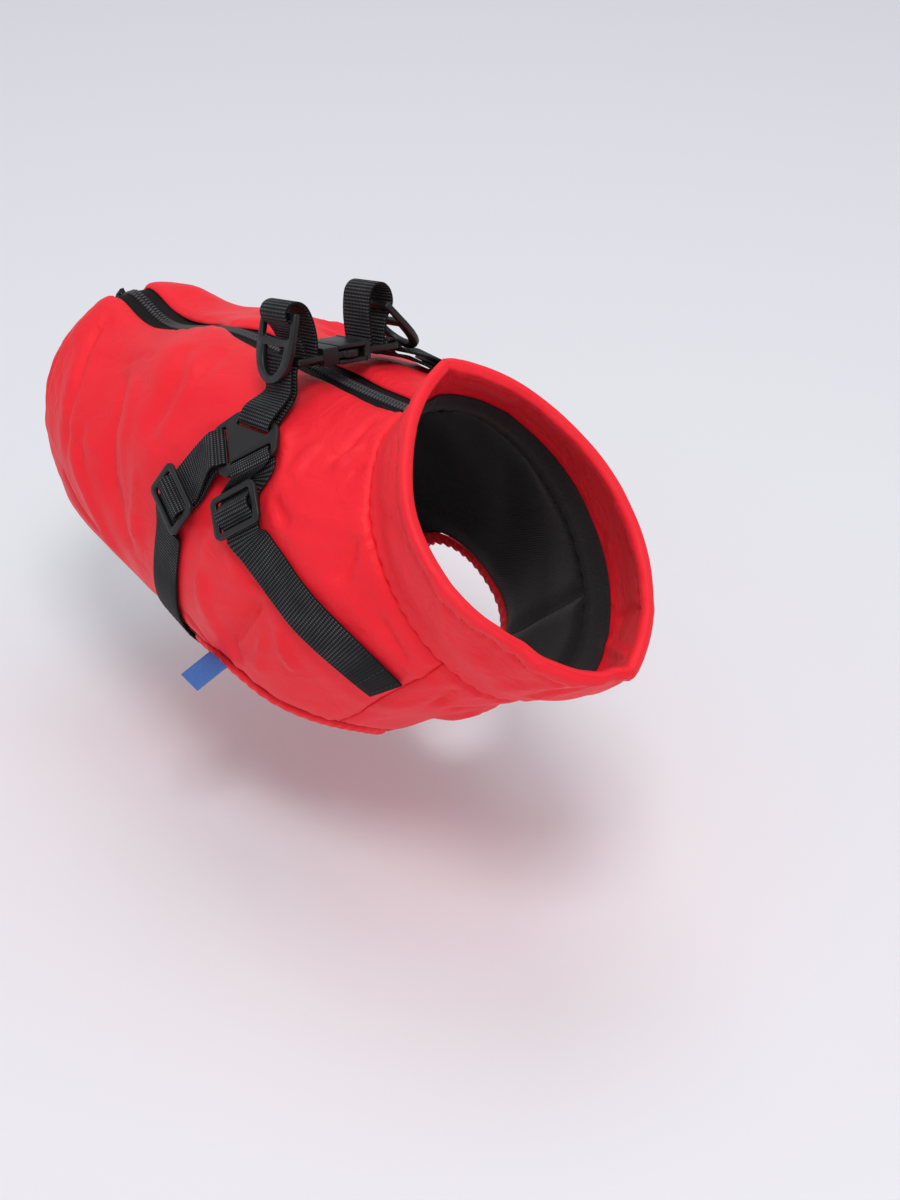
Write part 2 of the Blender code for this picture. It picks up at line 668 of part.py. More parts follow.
def half_strap(line, slider_at, side, shift, arm):
    """Stops from the sewn end, round the plate's bar and through the slider, onto the cloth."""
    slider = line.frame(slider_at, SLIDER_LIFT)
    stops = [on_line(line, slider_at + 3, STRAP_LIFT), on_line(line, slider_at - 5, STRAP_LIFT),
             on_line(line, slider_at - 12, STRAP_LIFT + 0.1)]
    stops += list(reversed(around_plate(side, shift, arm)))
    stops += around_slider(slider)
    stops += [on_line(line, slider_at + 16, 2.3), on_line(line, slider_at + 22, 1.5)]
    return stops, slider


def lay_harness(side, shift, word):
    """The straps and sliders of one side, and the stops of its half of the girth strap."""
    line = Line(CHEST_LINE, side, shift)
    stops, slider = half_strap(line, CHEST_SLIDER, side, shift, 2)
    d = CHEST_SLIDER + 31
    while d < line.length - 6:
        stops.append(on_line(line, d, STRAP_LIFT))
        d += 10
    stops.append(on_line(line, line.length - 0.5, STRAP_LIFT))
    strap(f"chest_strap_{word}", stops, fine=2)
    mould_slider(f"chest_slider_{word}", slider)
    girth = Line(GIRTH_LINE, side, shift)
    stops, slider = half_strap(girth, GIRTH_SLIDER, side, shift, 1)
    mould_slider(f"girth_slider_{word}", slider)
    d = GIRTH_SLIDER + 31
    while d < girth.length - 5:
        stops.append(on_line(girth, d, STRAP_LIFT + (0.3 if d > girth.length - 40 else 0.0)))
        d += 10
    if side > 0:
        stops.append(on_line(girth, girth.length, STRAP_LIFT + 0.3))
    mould_plate(f"yoke_plate_{word}", side, shift)
    return stops


def end_frame(side):
    """A frame in the middle of the buckle, x out to one end, z up; side 1 is the dog's right."""
    x, y, z = (math.radians(v) for v in BUCKLE_LEAN)
    lean = Matrix.Rotation(y, 4, "Y") @ Matrix.Rotation(x, 4, "X") @ Matrix.Rotation(z, 4, "Z")
    half_turn = Matrix.Rotation(-math.pi / 2 * side, 4, "Z")
    return Matrix.Translation(Vector(BUCKLE_AT)) @ lean @ half_turn


def lay_yoke(side, shift, word):
    """The doubled webbing from the buckle's outer bar to the top bar of the plate."""
    frame = end_frame(side)
    high = LADDER_THICK / 2 + GAP + 0.05 + WEBBING / 2
    hole = BAR_OUTER - BAR_WIDE / 2 - 1.15
    ways = (*YOKE_UNDER[side], (BAR_OUTER, -high), (hole + 0.3, -1.75), (hole, 0),
            (hole + 0.3, 1.75), (BAR_OUTER, high), *YOKE_OVER[side])
    over = [stop(frame, x, z) for x, z in ways]
    plate = around_plate(side, shift, 0)
    if over[0][1].dot(plate[0][1]) < 0:
        plate = [(p, -w) for p, w in plate]
    strap(f"yoke_strap_{word}", over + plate, closed=True)


def fuse(name, frame, pieces, slot):
    """One body from several that overlap, joined where they were drawn and then placed."""
    base = pieces[0]
    for other in pieces[1:]:
        step = base.modifiers.new("join", "BOOLEAN")
        step.operation = "UNION"
        step.solver = "EXACT"
        step.object = other
    graph = bpy.context.evaluated_depsgraph_get()
    mesh = bpy.data.meshes.new_from_object(base.evaluated_get(graph))
    for piece in pieces:
        bpy.data.objects.remove(piece, do_unlink=True)
    body = bpy.data.objects.new(name, mesh)
    bpy.context.scene.collection.objects.link(body)
    mesh.materials.clear()
    mesh.materials.append(slot)
    return put(body, frame)


def block(low, high):
    """A plain block between two corners."""
    verts = [(x, y, z) for z in (low[2], high[2]) for y in (low[1], high[1])
             for x in (low[0], high[0])]
    faces = [[0, 2, 3, 1], [4, 5, 7, 6], [0, 1, 5, 4], [2, 6, 7, 3], [0, 4, 6, 2], [1, 3, 7, 5]]
    return make_object("block", verts, faces, BLACK_PLASTIC)


def ladder():
    """The end of a buckle half: two bars with a slot behind each."""
    x0, x1 = BODY_END - 0.8, BAR_OUTER + BAR_WIDE / 2
    outline = round_corners([(x0, -LADDER_HALF + 2), (x1, -LADDER_HALF), (x1, LADDER_HALF),
                             (x0, LADDER_HALF - 2)], 1.6)
    inner_low, inner_high = BODY_END, BAR_INNER - BAR_WIDE / 2
    outer_low, outer_high = BAR_INNER + BAR_WIDE / 2, BAR_OUTER - BAR_WIDE / 2
    holes = [rounded((b - a) / 2, SLOT_HALF + 0.1, 0.8, 2, ((a + b) / 2, 0))
             for a, b in ((inner_low, inner_high), (outer_low, outer_high))]
    return plate_with_holes("ladder", outline, holes, LADDER_THICK, Matrix(), BLACK_PLASTIC)


def mould_buckle():
    """The side-release buckle: the pronged half on the right, its housing on the left."""
    parts = [ladder(), block((4.6, -11.2, -3.9), (BODY_END, 11.2, 3.9))]
    for way in (-1, 1):
        outline = [(5.2, way * 7.2), (-3.0, way * 8.6), (-7.6, way * 6.2), (-8.6, way * 8.0),
                   (-3.4, way * 13.4), (0.2, way * 13.4), (1.4, way * 11.0), (5.2, way * 10.8)]
        if way < 0:
            outline.reverse()
        parts.append(plate_with_holes("prong", outline, [], 3.2, Matrix(), BLACK_PLASTIC))
    parts.append(block((-6.0, -1.6, -1.5), (5.6, 1.6, 1.5)))
    fuse("buckle_prongs", end_frame(1), parts, BLACK_PLASTIC)
    parts = [ladder(), block((9.0, -11.1, -4.0), (BODY_END, 11.1, 4.0)),
             block((-4.2, -11.4, 2.3), (10.0, 11.4, 4.2)),
             block((-4.2, -11.4, -4.2), (10.0, 11.4, -2.3))]
    fuse("buckle_housing", end_frame(-1), parts, BLACK_PLASTIC)


def mould_ring(side, word):
    """A plastic leash ring on its webbing loop: a slot above, and a round hole for the clip.

    Its origin is the middle of the bar in the loop, which it swings on.
    """
    frame = end_frame(side)
    lean = math.radians(RING_TILT[side])
    middle = frame @ Vector((RING_AXIS[side][0], 0, RING_AXIS[side][1]))
    down = frame.to_3x3() @ Vector((math.sin(lean), 0, -math.cos(lean)))
    out = frame.to_3x3() @ Vector((math.cos(lean), 0, math.sin(lean)))
    placed = frame_from(middle, down, out)
    outline = [(-RING_BAR, -13.0), (-RING_BAR, 13.0), (RING_HOLE_START, 13.4)]
    lower = 12
    for i in range(1, lower):
        t = math.radians(90 - 180 * i / lower)
        outline.append((RING_HOLE_START + (RING_REACH - RING_HOLE_START) * math.cos(t) ** 0.9,
                        13.4 * math.sin(t)))
    outline += [(RING_HOLE_START, -13.4)]
    outline = outline[::-1]
    slot = rounded((RING_SLOT_END - RING_BAR) / 2, SLOT_HALF + 0.25, 1.2, 2,
                   ((RING_SLOT_END + RING_BAR) / 2, 0))
    hole = [(RING_HOLE_START, 8.2)]
    for i in range(1, 10):
        t = math.radians(90 - 180 * i / 10)
        hole.append((RING_HOLE_START + (RING_HOLE_END - RING_HOLE_START) * math.cos(t) ** 0.9,
                     8.2 * math.sin(t)))
    hole.append((RING_HOLE_START, -8.2))
    plate_with_holes(f"leash_ring_{word}", outline, [slot, hole[::-1]], RING_THICK, placed,
                     BLACK_PLASTIC)
    stops = [stop(frame, x, z) for x, z in LOOP[side]]
    strap(f"ring_loop_{word}", stops, closed=True, fine=2)


def make_zip_slider():
    """The slider at the tail end of the zip, and the pull tab, which swings on its bridge."""
    s = ZIP_SLIDER_AT
    normal = ring_normal(s, 0)
    forward = cloth(s + 0.01, 0) - cloth(s - 0.01, 0)
    frame = frame_from(cloth(s, 0), forward, normal)
    tape_top = -CLOTH - TAPE_ROOM
    top, low = tape_top + 0.7, tape_top - CHAIN_HIGH - 0.4
    bridge = top + 1.3
    parts = [block((-4.6, -4.4, top), (4.6, 4.4, bridge)),
             block((-4.6, -4.4, low - 1.3), (4.6, 4.4, low)),
             block((-4.4, -2.2, low - 0.4), (-1.6, 2.2, top + 0.4)),
             block((-3.7, -1.0, bridge - 0.4), (-2.6, 1.0, bridge + 3.2)),
             block((2.6, -1.1, bridge - 0.4), (3.7, 1.1, bridge + 3.2)),
             block((-3.6, -0.9, bridge + 2.3), (3.6, 0.9, bridge + 3.4))]
    fuse("zip_slider", frame, parts, ZIP_METAL)
    axis_high = bridge + 1.15
    placed = frame @ Matrix.Translation((0, 0, axis_high))
    outline = round_corners([(0.7, -3.2), (0.7, 3.2), (-PULL_LONG, 2.6), (-PULL_LONG, -2.6)], 1.0)
    eye = rounded(2.6, 1.8, 0.5, 2, (-3.3, 0))
    plate_with_holes("zip_pull", outline, [eye], PULL_THICK, placed, ZIP_METAL)


def sew_label():
    """The folded label in the armhole's edge, sticking out at the rear of the right armhole."""
    s, a = armhole(LABEL_TURN, 0.0)
    s0, a0 = armhole(LABEL_TURN - 14, 0.0)
    s1, a1 = armhole(LABEL_TURN + 14, 0.0)
    normal = ring_normal(s, a)
    along = (cloth(s1, a1) - cloth(s0, a0)).normalized()
    frame = frame_from(cloth(s, a) + normal * 0.9, normal, along.cross(normal))
    outline = [(0, -LABEL_WIDE / 2), (LABEL_LONG, -LABEL_WIDE / 2), (LABEL_LONG, LABEL_WIDE / 2),
               (0, LABEL_WIDE / 2)]
    plate_with_holes("side_label", outline, [], LABEL_THICK, frame, BLUE_LABEL)


sew_panels()
sew_collar()
sew_binding("armhole_binding_right", 1)
sew_binding("armhole_binding_left", -1)
lay_zip()
make_zip_slider()
right = lay_harness(1, 0.0, "right")
left = lay_harness(-1, HARNESS_SHIFT, "left")
under = [(p, -w) for p, w in reversed(left)]
if right[-1][1].dot(under[0][1]) < 0:
    under = [(p, -w) for p, w in under]
strap("girth_strap", right + under, fine=2)
lay_yoke(1, 0.0, "right")
lay_yoke(-1, HARNESS_SHIFT, "left")
mould_buckle()
mould_ring(1, "right")
mould_ring(-1, "left")
sew_label()
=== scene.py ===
"""A padded dog vest in its worn shape, with a zip along the back and a built-in webbing harness.

The sections follow the vest as it is sewn: camera and studio, shell panels, lining, collar,
armhole bindings, zip, webbing, moulded hardware, label and stitches.  Sizes are in
millimetres and become metres where a mesh is made.  Right and left are as it is worn.
"""

import math

import bmesh
import bpy
import numpy as np
from mathutils import Matrix, Vector, noise
from mathutils.geometry import delaunay_2d_cdt


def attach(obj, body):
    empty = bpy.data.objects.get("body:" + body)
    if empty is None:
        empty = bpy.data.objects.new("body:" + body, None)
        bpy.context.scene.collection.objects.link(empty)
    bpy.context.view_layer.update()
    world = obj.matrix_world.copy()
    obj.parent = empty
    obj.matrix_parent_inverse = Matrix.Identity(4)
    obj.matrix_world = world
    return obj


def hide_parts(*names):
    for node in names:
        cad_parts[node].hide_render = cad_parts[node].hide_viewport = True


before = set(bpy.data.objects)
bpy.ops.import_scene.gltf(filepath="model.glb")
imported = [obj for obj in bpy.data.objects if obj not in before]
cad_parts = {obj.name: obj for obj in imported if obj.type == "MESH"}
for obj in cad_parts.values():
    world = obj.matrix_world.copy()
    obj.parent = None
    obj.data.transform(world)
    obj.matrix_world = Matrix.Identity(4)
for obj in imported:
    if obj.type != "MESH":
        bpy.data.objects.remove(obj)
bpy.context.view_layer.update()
scene = bpy.context.scene
MM = 0.001

# ---------------------------------------------------------------- camera and studio
# The camera stands in front of the collar, on its right, and looks down at 34 degrees through a
# lens of 60 mm on a frame 36 mm high.  A large matt floor, a pale sky and three softboxes light
# the vest without hard shadows.
CAMERA_AT = Vector((0.6190, -0.4605, 0.3961))
CAMERA_TURN, CAMERA_TILT = math.radians(50), math.radians(34)
LENS, FRAME_HIGH, FRAME_WIDE = 60, 36, 27
FLOOR_Z, FLOOR_HALF = -0.225, 6
SKY_TINT, SKY_STRENGTH = (0.93, 0.95, 1.0, 1), 0.56
# name, place, watts, size in metres
SOFTBOXES = (
    ("key_softbox", (0.8, -0.5, 1.7), 14, 0.6),
    ("top_softbox", (-0.5, 0.4, 2.0), 8, 1.2),
    ("fill_softbox", (1.5, -1.5, 0.8), 1.5, 1.2),
)

camera_data = bpy.data.cameras.new("camera")
camera_data.sensor_fit = "VERTICAL"
camera_data.sensor_height = FRAME_HIGH
camera_data.sensor_width = FRAME_WIDE
camera_data.lens = LENS
camera = bpy.data.objects.new("camera", camera_data)
scene.collection.objects.link(camera)
look = Vector((-math.sin(CAMERA_TURN) * math.cos(CAMERA_TILT),
               math.cos(CAMERA_TURN) * math.cos(CAMERA_TILT), -math.sin(CAMERA_TILT)))
camera.location = CAMERA_AT
camera.rotation_euler = look.to_track_quat("-Z", "Y").to_euler()
scene.camera = camera
scene.view_settings.view_transform = "Standard"


def linear(code):
    """An sRGB hex colour as a linear one."""
    parts = [int(code[i:i + 2], 16) / 255 for i in (0, 2, 4)]
    return (*[c / 12.92 if c <= 0.04045 else ((c + 0.055) / 1.055) ** 2.4 for c in parts], 1.0)


def add_node(tree, kind, inputs=(), **settings):
    """Adds a node with its settings, and with a value or another socket for each input."""
    made = tree.nodes.new(kind)
    for key, value in settings.items():
        setattr(made, key, value)
    for key, value in dict(inputs).items():
        if isinstance(value, bpy.types.NodeSocket):
            tree.links.new(value, made.inputs[key])
        else:
            made.inputs[key].default_value = value
    return made


def start_material(name, colour, roughness):
    """A material with its own shader, and the tree to build its pattern in."""
    made = bpy.data.materials.new(name)
    made.use_nodes = True
    shader = made.node_tree.nodes["Principled BSDF"]
    shader.inputs["Base Color"].default_value = linear(colour)
    shader.inputs["Roughness"].default_value = roughness
    return made, made.node_tree, shader


floor_mesh = bpy.data.meshes.new("studio_floor")
floor_corners = [(x * FLOOR_HALF, y * FLOOR_HALF, FLOOR_Z)
                 for x, y in ((-1, -1), (1, -1), (1, 1), (-1, 1))]
floor_mesh.from_pydata(floor_corners, [], [(0, 1, 2, 3)])
floor = bpy.data.objects.new("studio_floor", floor_mesh)
scene.collection.objects.link(floor)
floor_paint, _, _ = start_material("matt_studio_floor", "F2F2F6", 0.9)
floor_mesh.materials.append(floor_paint)

world = bpy.data.worlds.new("studio")
world.use_nodes = True
sky = world.node_tree.nodes["Background"]
sky.inputs["Color"].default_value = SKY_TINT
sky.inputs["Strength"].default_value = SKY_STRENGTH
scene.world = world

for name, place, watts, size in SOFTBOXES:
    light = bpy.data.lights.new(name, "AREA")
    light.shape = "SQUARE"
    light.size = size
    light.energy = watts
    lamp = bpy.data.objects.new(name, light)
    lamp.location = place
    lamp.rotation_euler = (-Vector(place)).to_track_quat("-Z", "Y").to_euler()
    scene.collection.objects.link(lamp)

# ---------------------------------------------------------------- shell panels
# Two side panels and one chest panel of thinly padded nylon, cut flat and sewn together.  A place
# on them is a station, from 0 at the tail hem to 1 at the neck seam, and an angle, from 0 on the
# back over 90 on the right side to 180 under the belly.

# Rings of the worn form: back x and z, belly x and z, half the width on the right and on the
# left, fullness of back and belly.
RINGS = np.array((
    (-187, -38, -182, -140, 48, 48, 0.90, 0.90),  # tail hem
    (-172, -27, -166, -150, 58, 58, 0.90, 0.92),  # crest of the rump
    (-138, -32, -124, -156, 69.5, 69.5, 0.82, 1.12),  # rump
    (-82, -14, -52, -166, 75, 75, 0.80, 1.08),  # waist
    (-15, -8, 28, -173, 79, 79, 0.84, 0.86),  # girth
    (22, -5, 88, -133, 71, 71, 0.88, 0.98),  # shoulder
    (50, 0, 134, -101, 50, 50, 0.95, 0.95),  # neck seam
    (60, 14, 160, -86, 54, 48, 1.15, 1.15),  # middle of the collar
    (68, 28, 182, -63, 56, 42, 1.50, 1.50),  # rim of the collar
))
NECK_RING = 6
ALONG, AROUND = 260, 74  # mm of cloth per station, and per radian round the body
CLOTH, TAPE = 2.2, 1.0  # how thick the padded cloth and the zip's tape are
TAPE_ROOM, GAP = 0.8, 0.3  # room round the tape, and between pieces that are sewn together
# Largest folds, from one place to another: station, angle, station, angle, width, height.
BIG_FOLDS = (
    (0.38, 30, 0.47, 76, 15, -3.0),
    (0.28, 36, 0.34, 74, 17, 2.0),
    (0.49, 20, 0.53, 56, 18, 2.2),
    (0.78, 84, 0.67, 108, 17, -2.4),
    (0.82, 56, 0.96, 64, 16, 1.8),
    (0.34, 19, 0.58, 23, 17, 2.4),
    (0.24, -24, 0.46, -26, 18, 3.4),
    (0.49, -26, 0.56, -31, 13, -2.8),
    (0.36, -40, 0.45, -78, 16, -2.6),
    (0.52, -34, 0.60, -72, 18, 2.2),
    (0.76, -82, 0.69, -112, 17, -2.4),
    (0.45, 168, 0.60, 196, 18, 2.0),
)
# Half the gap over the zip, station by station: at the waist the panels' edges nearly meet.
ZIP_OPENING = ((0.0, 9.5), (0.30, 9.5), (0.42, 7.5), (0.47, 1.2), (0.52, 7.0), (0.60, 8.0),
               (0.80, 7.5), (0.88, 8.0), (0.985, 7.0))
# The panels' edges as stations and angles; both side panels have the same ones.
REAR_HEM = ((0.0, 40), (0.0, 70), (0.015, 90), (0.05, 103), (0.11, 113), (0.18, 122), (0.27, 131))
BELLY_HEM = ((0.33, 143), (0.37, 158), (0.385, 180))
FRONT_SEAM = ((0.797, 140), (0.842, 135.5), (0.887, 131.7), (0.94, 127.7), (1.0, 123))
BELLY_SEAM_BEND = (0.45, 131)  # where the belly seam bends on its way from armhole to hem
# The armholes: an oval's middle, how it is turned, and its half length and half height.
ARMHOLE_AT, ARMHOLE_TURN = (0.651, 141), math.radians(62)
ARMHOLE_LONG, ARMHOLE_HIGH = 38.5, 23.5
SEAM_AT_REAR, SEAM_AT_FRONT = 130, 289  # where on the oval the seams reach it, in degrees


def smooth_rows(rows, at):
    """Rows of a table at real-numbered places, on a smooth curve through the rows."""
    rows = np.asarray(rows, float)
    at = np.atleast_1d(np.asarray(at, float))
    last = len(rows) - 1
    i = np.clip(np.floor(at).astype(int), 0, last - 1)
    u = (at - i)[:, None]
    a, b, c, d = (rows[np.clip(i + k, 0, last)] for k in (-1, 0, 1, 2))
    first, final = (i > 0)[:, None], (i < last - 1)[:, None]
    m1 = np.where(first, (c - a) / 2, c - b)
    m2 = np.where(final, (d - b) / 2, c - b)
    return ((2 * u**3 - 3 * u**2 + 1) * b + (u**3 - 2 * u**2 + u) * m1
            + (3 * u**2 - 2 * u**3) * c + (u**3 - u**2) * m2)


def form_point(station, angle):
    """Places on the smooth worn form."""
    row = smooth_rows(RINGS, station * NECK_RING).T
    top_x, top_z, low_x, low_z, right, left, full, low_full = row
    turn = np.radians(angle)
    down = (1 - np.cos(turn)) / 2
    side = np.sin(turn)
    power = np.where(down < 0.5, full, low_full)
    half = np.where(side > 0, right, left)
    across = half * np.copysign(np.abs(side) ** power, side)
    return np.stack([top_x + (low_x - top_x) * down, -across, top_z + (low_z - top_z) * down], 1)


def form_normal(station, angle):
    """Outward normals of the smooth form."""
    along = form_point(station + 0.004, angle) - form_point(station - 0.004, angle)
    around = form_point(station, angle + 4.0) - form_point(station, angle - 4.0)
    out = np.cross(around, along)
    return out / np.linalg.norm(out, axis=1, keepdims=True)


def big_folds(station, angle):
    """How far the largest folds lift the cloth; an angle may be given a whole turn away."""
    high = np.zeros(len(station))
    for sa, aa, sb, ab, width, height in BIG_FOLDS:
        ax, ay, bx, by = (sa * ALONG, math.radians(aa) * AROUND, sb * ALONG,
                          math.radians(ab) * AROUND)
        for turn in (-360, 0, 360):
            px, py = station * ALONG, np.radians(angle + turn) * AROUND
            dx, dy = bx - ax, by - ay
            t = np.clip(((px - ax) * dx + (py - ay) * dy) / (dx * dx + dy * dy), 0, 1)
            away = np.hypot(px - ax - t * dx, py - ay - t * dy)
            high += np.where(away < 3 * width, height * np.exp(-((away / width) ** 2) * 2), 0)
    return high


def cloth(station, angle, out=0.0):
    """Places on the cloth; out is the height over its outer face."""
    station = np.atleast_1d(np.asarray(station, float))
    angle = np.atleast_1d(np.asarray(angle, float))
    high = (big_folds(station, angle) + out)[:, None]
    return form_point(station, angle) + form_normal(station, angle) * high


def flat(places):
    """Places on the flat pattern, in mm."""
    places = np.asarray(places, float)
    return np.stack([places[:, 0] * ALONG, np.radians(places[:, 1]) * AROUND], 1)


def along_line(points, line, closed=False):
    """For flat points: distance from a line, side of it, share of its length, and its length."""
    line = np.asarray(line, float)
    ends = np.vstack([line, line[:1]]) if closed else line
    best = np.full(len(points), 1e9)
    side = np.zeros(len(points))
    run = np.zeros(len(points))
    start = 0.0
    for a, b in zip(ends, ends[1:]):
        d = b - a
        size = math.hypot(*d)
        if size < 1e-9:
            continue
        t = np.clip(((points - a) @ d) / size**2, 0, 1)
        off = points - a - t[:, None] * d
        away = np.hypot(off[:, 0], off[:, 1])
        near = away < best
        best = np.where(near, away, best)
        side = np.where(near, d[0] * off[:, 1] - d[1] * off[:, 0], side)
        run = np.where(near, start + t * size, run)
        start += size
    return best, side, run / max(start, 1e-9), start


def crease(points, places, width, height, steep=0.5):
    """A fold along a few given places: steeper on one side, and fading at its ends."""
    away, side, run, _ = along_line(points, flat(places))
    wide = np.where(side > 0, width, width * steep)
    fade = np.clip(np.minimum(run, 1 - run) * 4 + 0.12, 0, 1)
    return height * np.exp(-((away / wide) ** 2) * 1.6) * fade * fade * (3 - 2 * fade)


def soft_noise(points, size, seed):
    """Slow waves of about plus or minus one."""
    return np.array([noise.noise(Vector((x / size, y / size, seed))) for x, y in points]) * 1.6


def inside(points, line):
    """Which flat points lie inside an outline."""
    hit = np.zeros(len(points), bool)
    x, y = points.T
    for (ax, ay), (bx, by) in zip(line, np.roll(line, -1, axis=0)):
        if ay == by:
            continue
        cross = ((ay > y) != (by > y)) & (x < (bx - ax) * (y - ay) / (by - ay) + ax)
        hit ^= cross
    return hit


EDGE_ROWS = (0.8, 2.2)  # rows of points this far inside a piece's edge, for a crisp seam


def cut_piece(outline, spacing):
    """A flat piece as places and triangles, with close rows of points along its edge."""
    corners = flat(outline)
    edge = []
    for a, b in zip(corners, np.roll(corners, -1, axis=0)):
        count = max(1, round(math.hypot(*(b - a)) / spacing))
        edge += [a + (b - a) * k / count for k in range(count)]
    edge = np.array(edge)
    way = np.roll(edge, -1, axis=0) - np.roll(edge, 1, axis=0)
    way /= np.linalg.norm(way, axis=1, keepdims=True)
    turned = np.stack([-way[:, 1], way[:, 0]], 1)
    if not inside(edge[:1] + turned[:1] * 0.3, edge)[0]:
        turned = -turned
    rows = [edge + turned * depth for depth in EDGE_ROWS]
    low, high = edge.min(0), edge.max(0)
    lattice = []
    for row, y in enumerate(np.arange(low[1], high[1], spacing * 0.87)):
        x = np.arange(low[0] + spacing * (0.5 if row % 2 else 1.0), high[0], spacing)
        lattice.append(np.stack([x, np.full(len(x), y)], 1))
    lattice = np.vstack(lattice)
    keep = []
    for points, room in ((rows[0], 0.7), (rows[1], 1.9), (lattice, 3.4)):
        away = along_line(points, edge, True)[0]
        keep.append(points[inside(points, edge) & (away >= room)])
    points = [Vector(p) for p in np.vstack([edge, *keep])]
    found = delaunay_2d_cdt(points, [], [list(range(len(edge)))], 1, 1e-5)
    places = np.array([(p[0] / ALONG, math.degrees(p[1] / AROUND)) for p in found[0]])
    return places, [list(f) for f in found[2]], edge


def mesh_piece(name, verts, faces, finish, uvs=None, smooth=75):
    """A mesh from places in mm, with its faces turned outwards and its pattern map in metres."""
    mesh = bpy.data.meshes.new(name)
    mesh.from_pydata((np.asarray(verts, float) * MM).tolist(), [], faces)
    work = bmesh.new()
    work.from_mesh(mesh)
    bmesh.ops.recalc_face_normals(work, faces=work.faces)
    work.to_mesh(mesh)
    work.free()
    if uvs is not None:
        layer = mesh.uv_layers.new(name="UVMap")
        corner = np.zeros(len(mesh.loops), np.int32)
        mesh.loops.foreach_get("vertex_index", corner)
        layer.data.foreach_set("uv", (np.asarray(uvs, float)[corner] * MM).ravel())
    mesh.materials.append(finish)
    mesh.shade_smooth()
    mesh.set_sharp_from_angle(angle=math.radians(smooth))
    piece = bpy.data.objects.new(name, mesh)
    scene.collection.objects.link(piece)
    return piece


def sew_piece(name, places, faces, face_high, back_high, finish):
    """A closed thin wall on the form, between the heights of its face and of its back."""
    count = len(places)
    s, a = places.T
    verts = np.vstack([cloth(s, a, face_high), cloth(s, a, back_high)])
    used = {(i, j) for f in faces for i, j in zip(f, f[1:] + f[:1])}
    rim = [(i, j) for i, j in used if (j, i) not in used]
    walls = [[j, i, i + count, j + count] for i, j in rim]
    back = [[v + count for v in reversed(f)] for f in faces]
    uvs = np.vstack([flat(places), flat(places)])
    return mesh_piece(name, verts, faces + back + walls, finish, uvs)


def armhole(turn, grow=0.0):
    """Places round an armhole at turns in degrees; they may be grown outwards by some mm."""
    t = np.radians(turn)
    u, v = (ARMHOLE_LONG + grow) * np.cos(t), (ARMHOLE_HIGH + grow) * np.sin(t)
    x = ARMHOLE_AT[0] * ALONG + u * math.cos(ARMHOLE_TURN) - v * math.sin(ARMHOLE_TURN)
    y = (math.radians(ARMHOLE_AT[1]) * AROUND + u * math.sin(ARMHOLE_TURN)
         + v * math.cos(ARMHOLE_TURN))
    return np.stack([x / ALONG, np.degrees(y / AROUND)], 1)


def zip_angle(station, half):
    """The angle at a distance in mm from the middle of the back."""
    row = smooth_rows(RINGS, np.asarray(station) * NECK_RING)
    return np.degrees(np.arcsin(np.minimum(1.0, (half / row[:, 4]) ** (1 / row[:, 6]))))


def moved(places, angle):
    """Places that are moved round the body by an angle."""
    return [(s, a + angle) for s, a in places]


HALF_GAP = math.degrees(GAP / 2 / AROUND)
NECK_EDGE = 1 - GAP / 2 / ALONG


def side_outline(zip_room=0.0):
    """The right side panel: neck, front seam, armhole, belly seam, hem, and the zip's edge."""
    across = [(NECK_EDGE, a) for a in (30, 50, 70, 90, 105)]
    front = [(min(s, NECK_EDGE), a - HALF_GAP) for s, a in reversed(FRONT_SEAM)]
    hole = [tuple(p) for p in armhole(np.linspace(SEAM_AT_FRONT, SEAM_AT_REAR, 37))]
    rear = moved((BELLY_SEAM_BEND, REAR_HEM[-1]), -HALF_GAP)
    hem = list(reversed(REAR_HEM[:-1]))
    stations = np.linspace(0.0, NECK_EDGE, 61)
    wide = np.maximum(np.interp(stations, *zip(*ZIP_OPENING)), zip_room)
    opening = list(zip(stations, zip_angle(stations, wide)))
    return across + front + moved(hole, -HALF_GAP) + rear + hem + opening


def chest_outline():
    """The chest and belly panel, from the right seam under the body to the left one."""
    front = [(min(s, NECK_EDGE), a + HALF_GAP) for s, a in FRONT_SEAM]
    hole = [tuple(p) for p in armhole(np.linspace(SEAM_AT_FRONT, SEAM_AT_REAR + 360, 79))]
    rear = moved((BELLY_SEAM_BEND, REAR_HEM[-1]), HALF_GAP)
    right = list(reversed(front)) + moved(hole, HALF_GAP) + rear + list(BELLY_HEM)
    left = [(s, 360 - a) for s, a in reversed(right[:-1])]
    return right + left + [(NECK_EDGE, a) for a in (222, 201, 180, 159, 138)]


# Lines that the straps follow over the cloth, which they press down.
CHEST_LINE = ((0.742, 43), (0.734, 49), (0.735, 54), (0.746, 59), (0.770, 66), (0.800, 74),
              (0.827, 82.5), (0.852, 92), (0.872, 102), (0.884, 112), (0.888, 121), (0.887, 128))
GIRTH_LINE = ((0.655, 45), (0.632, 54), (0.607, 64), (0.595, 74), (0.585, 83), (0.572, 93),
              (0.555, 104), (0.538, 115), (0.524, 130), (0.513, 150), (0.507, 166), (0.506, 180))
HARNESS_SHIFT = 0.03  # how far forward the left half of the harness has slipped
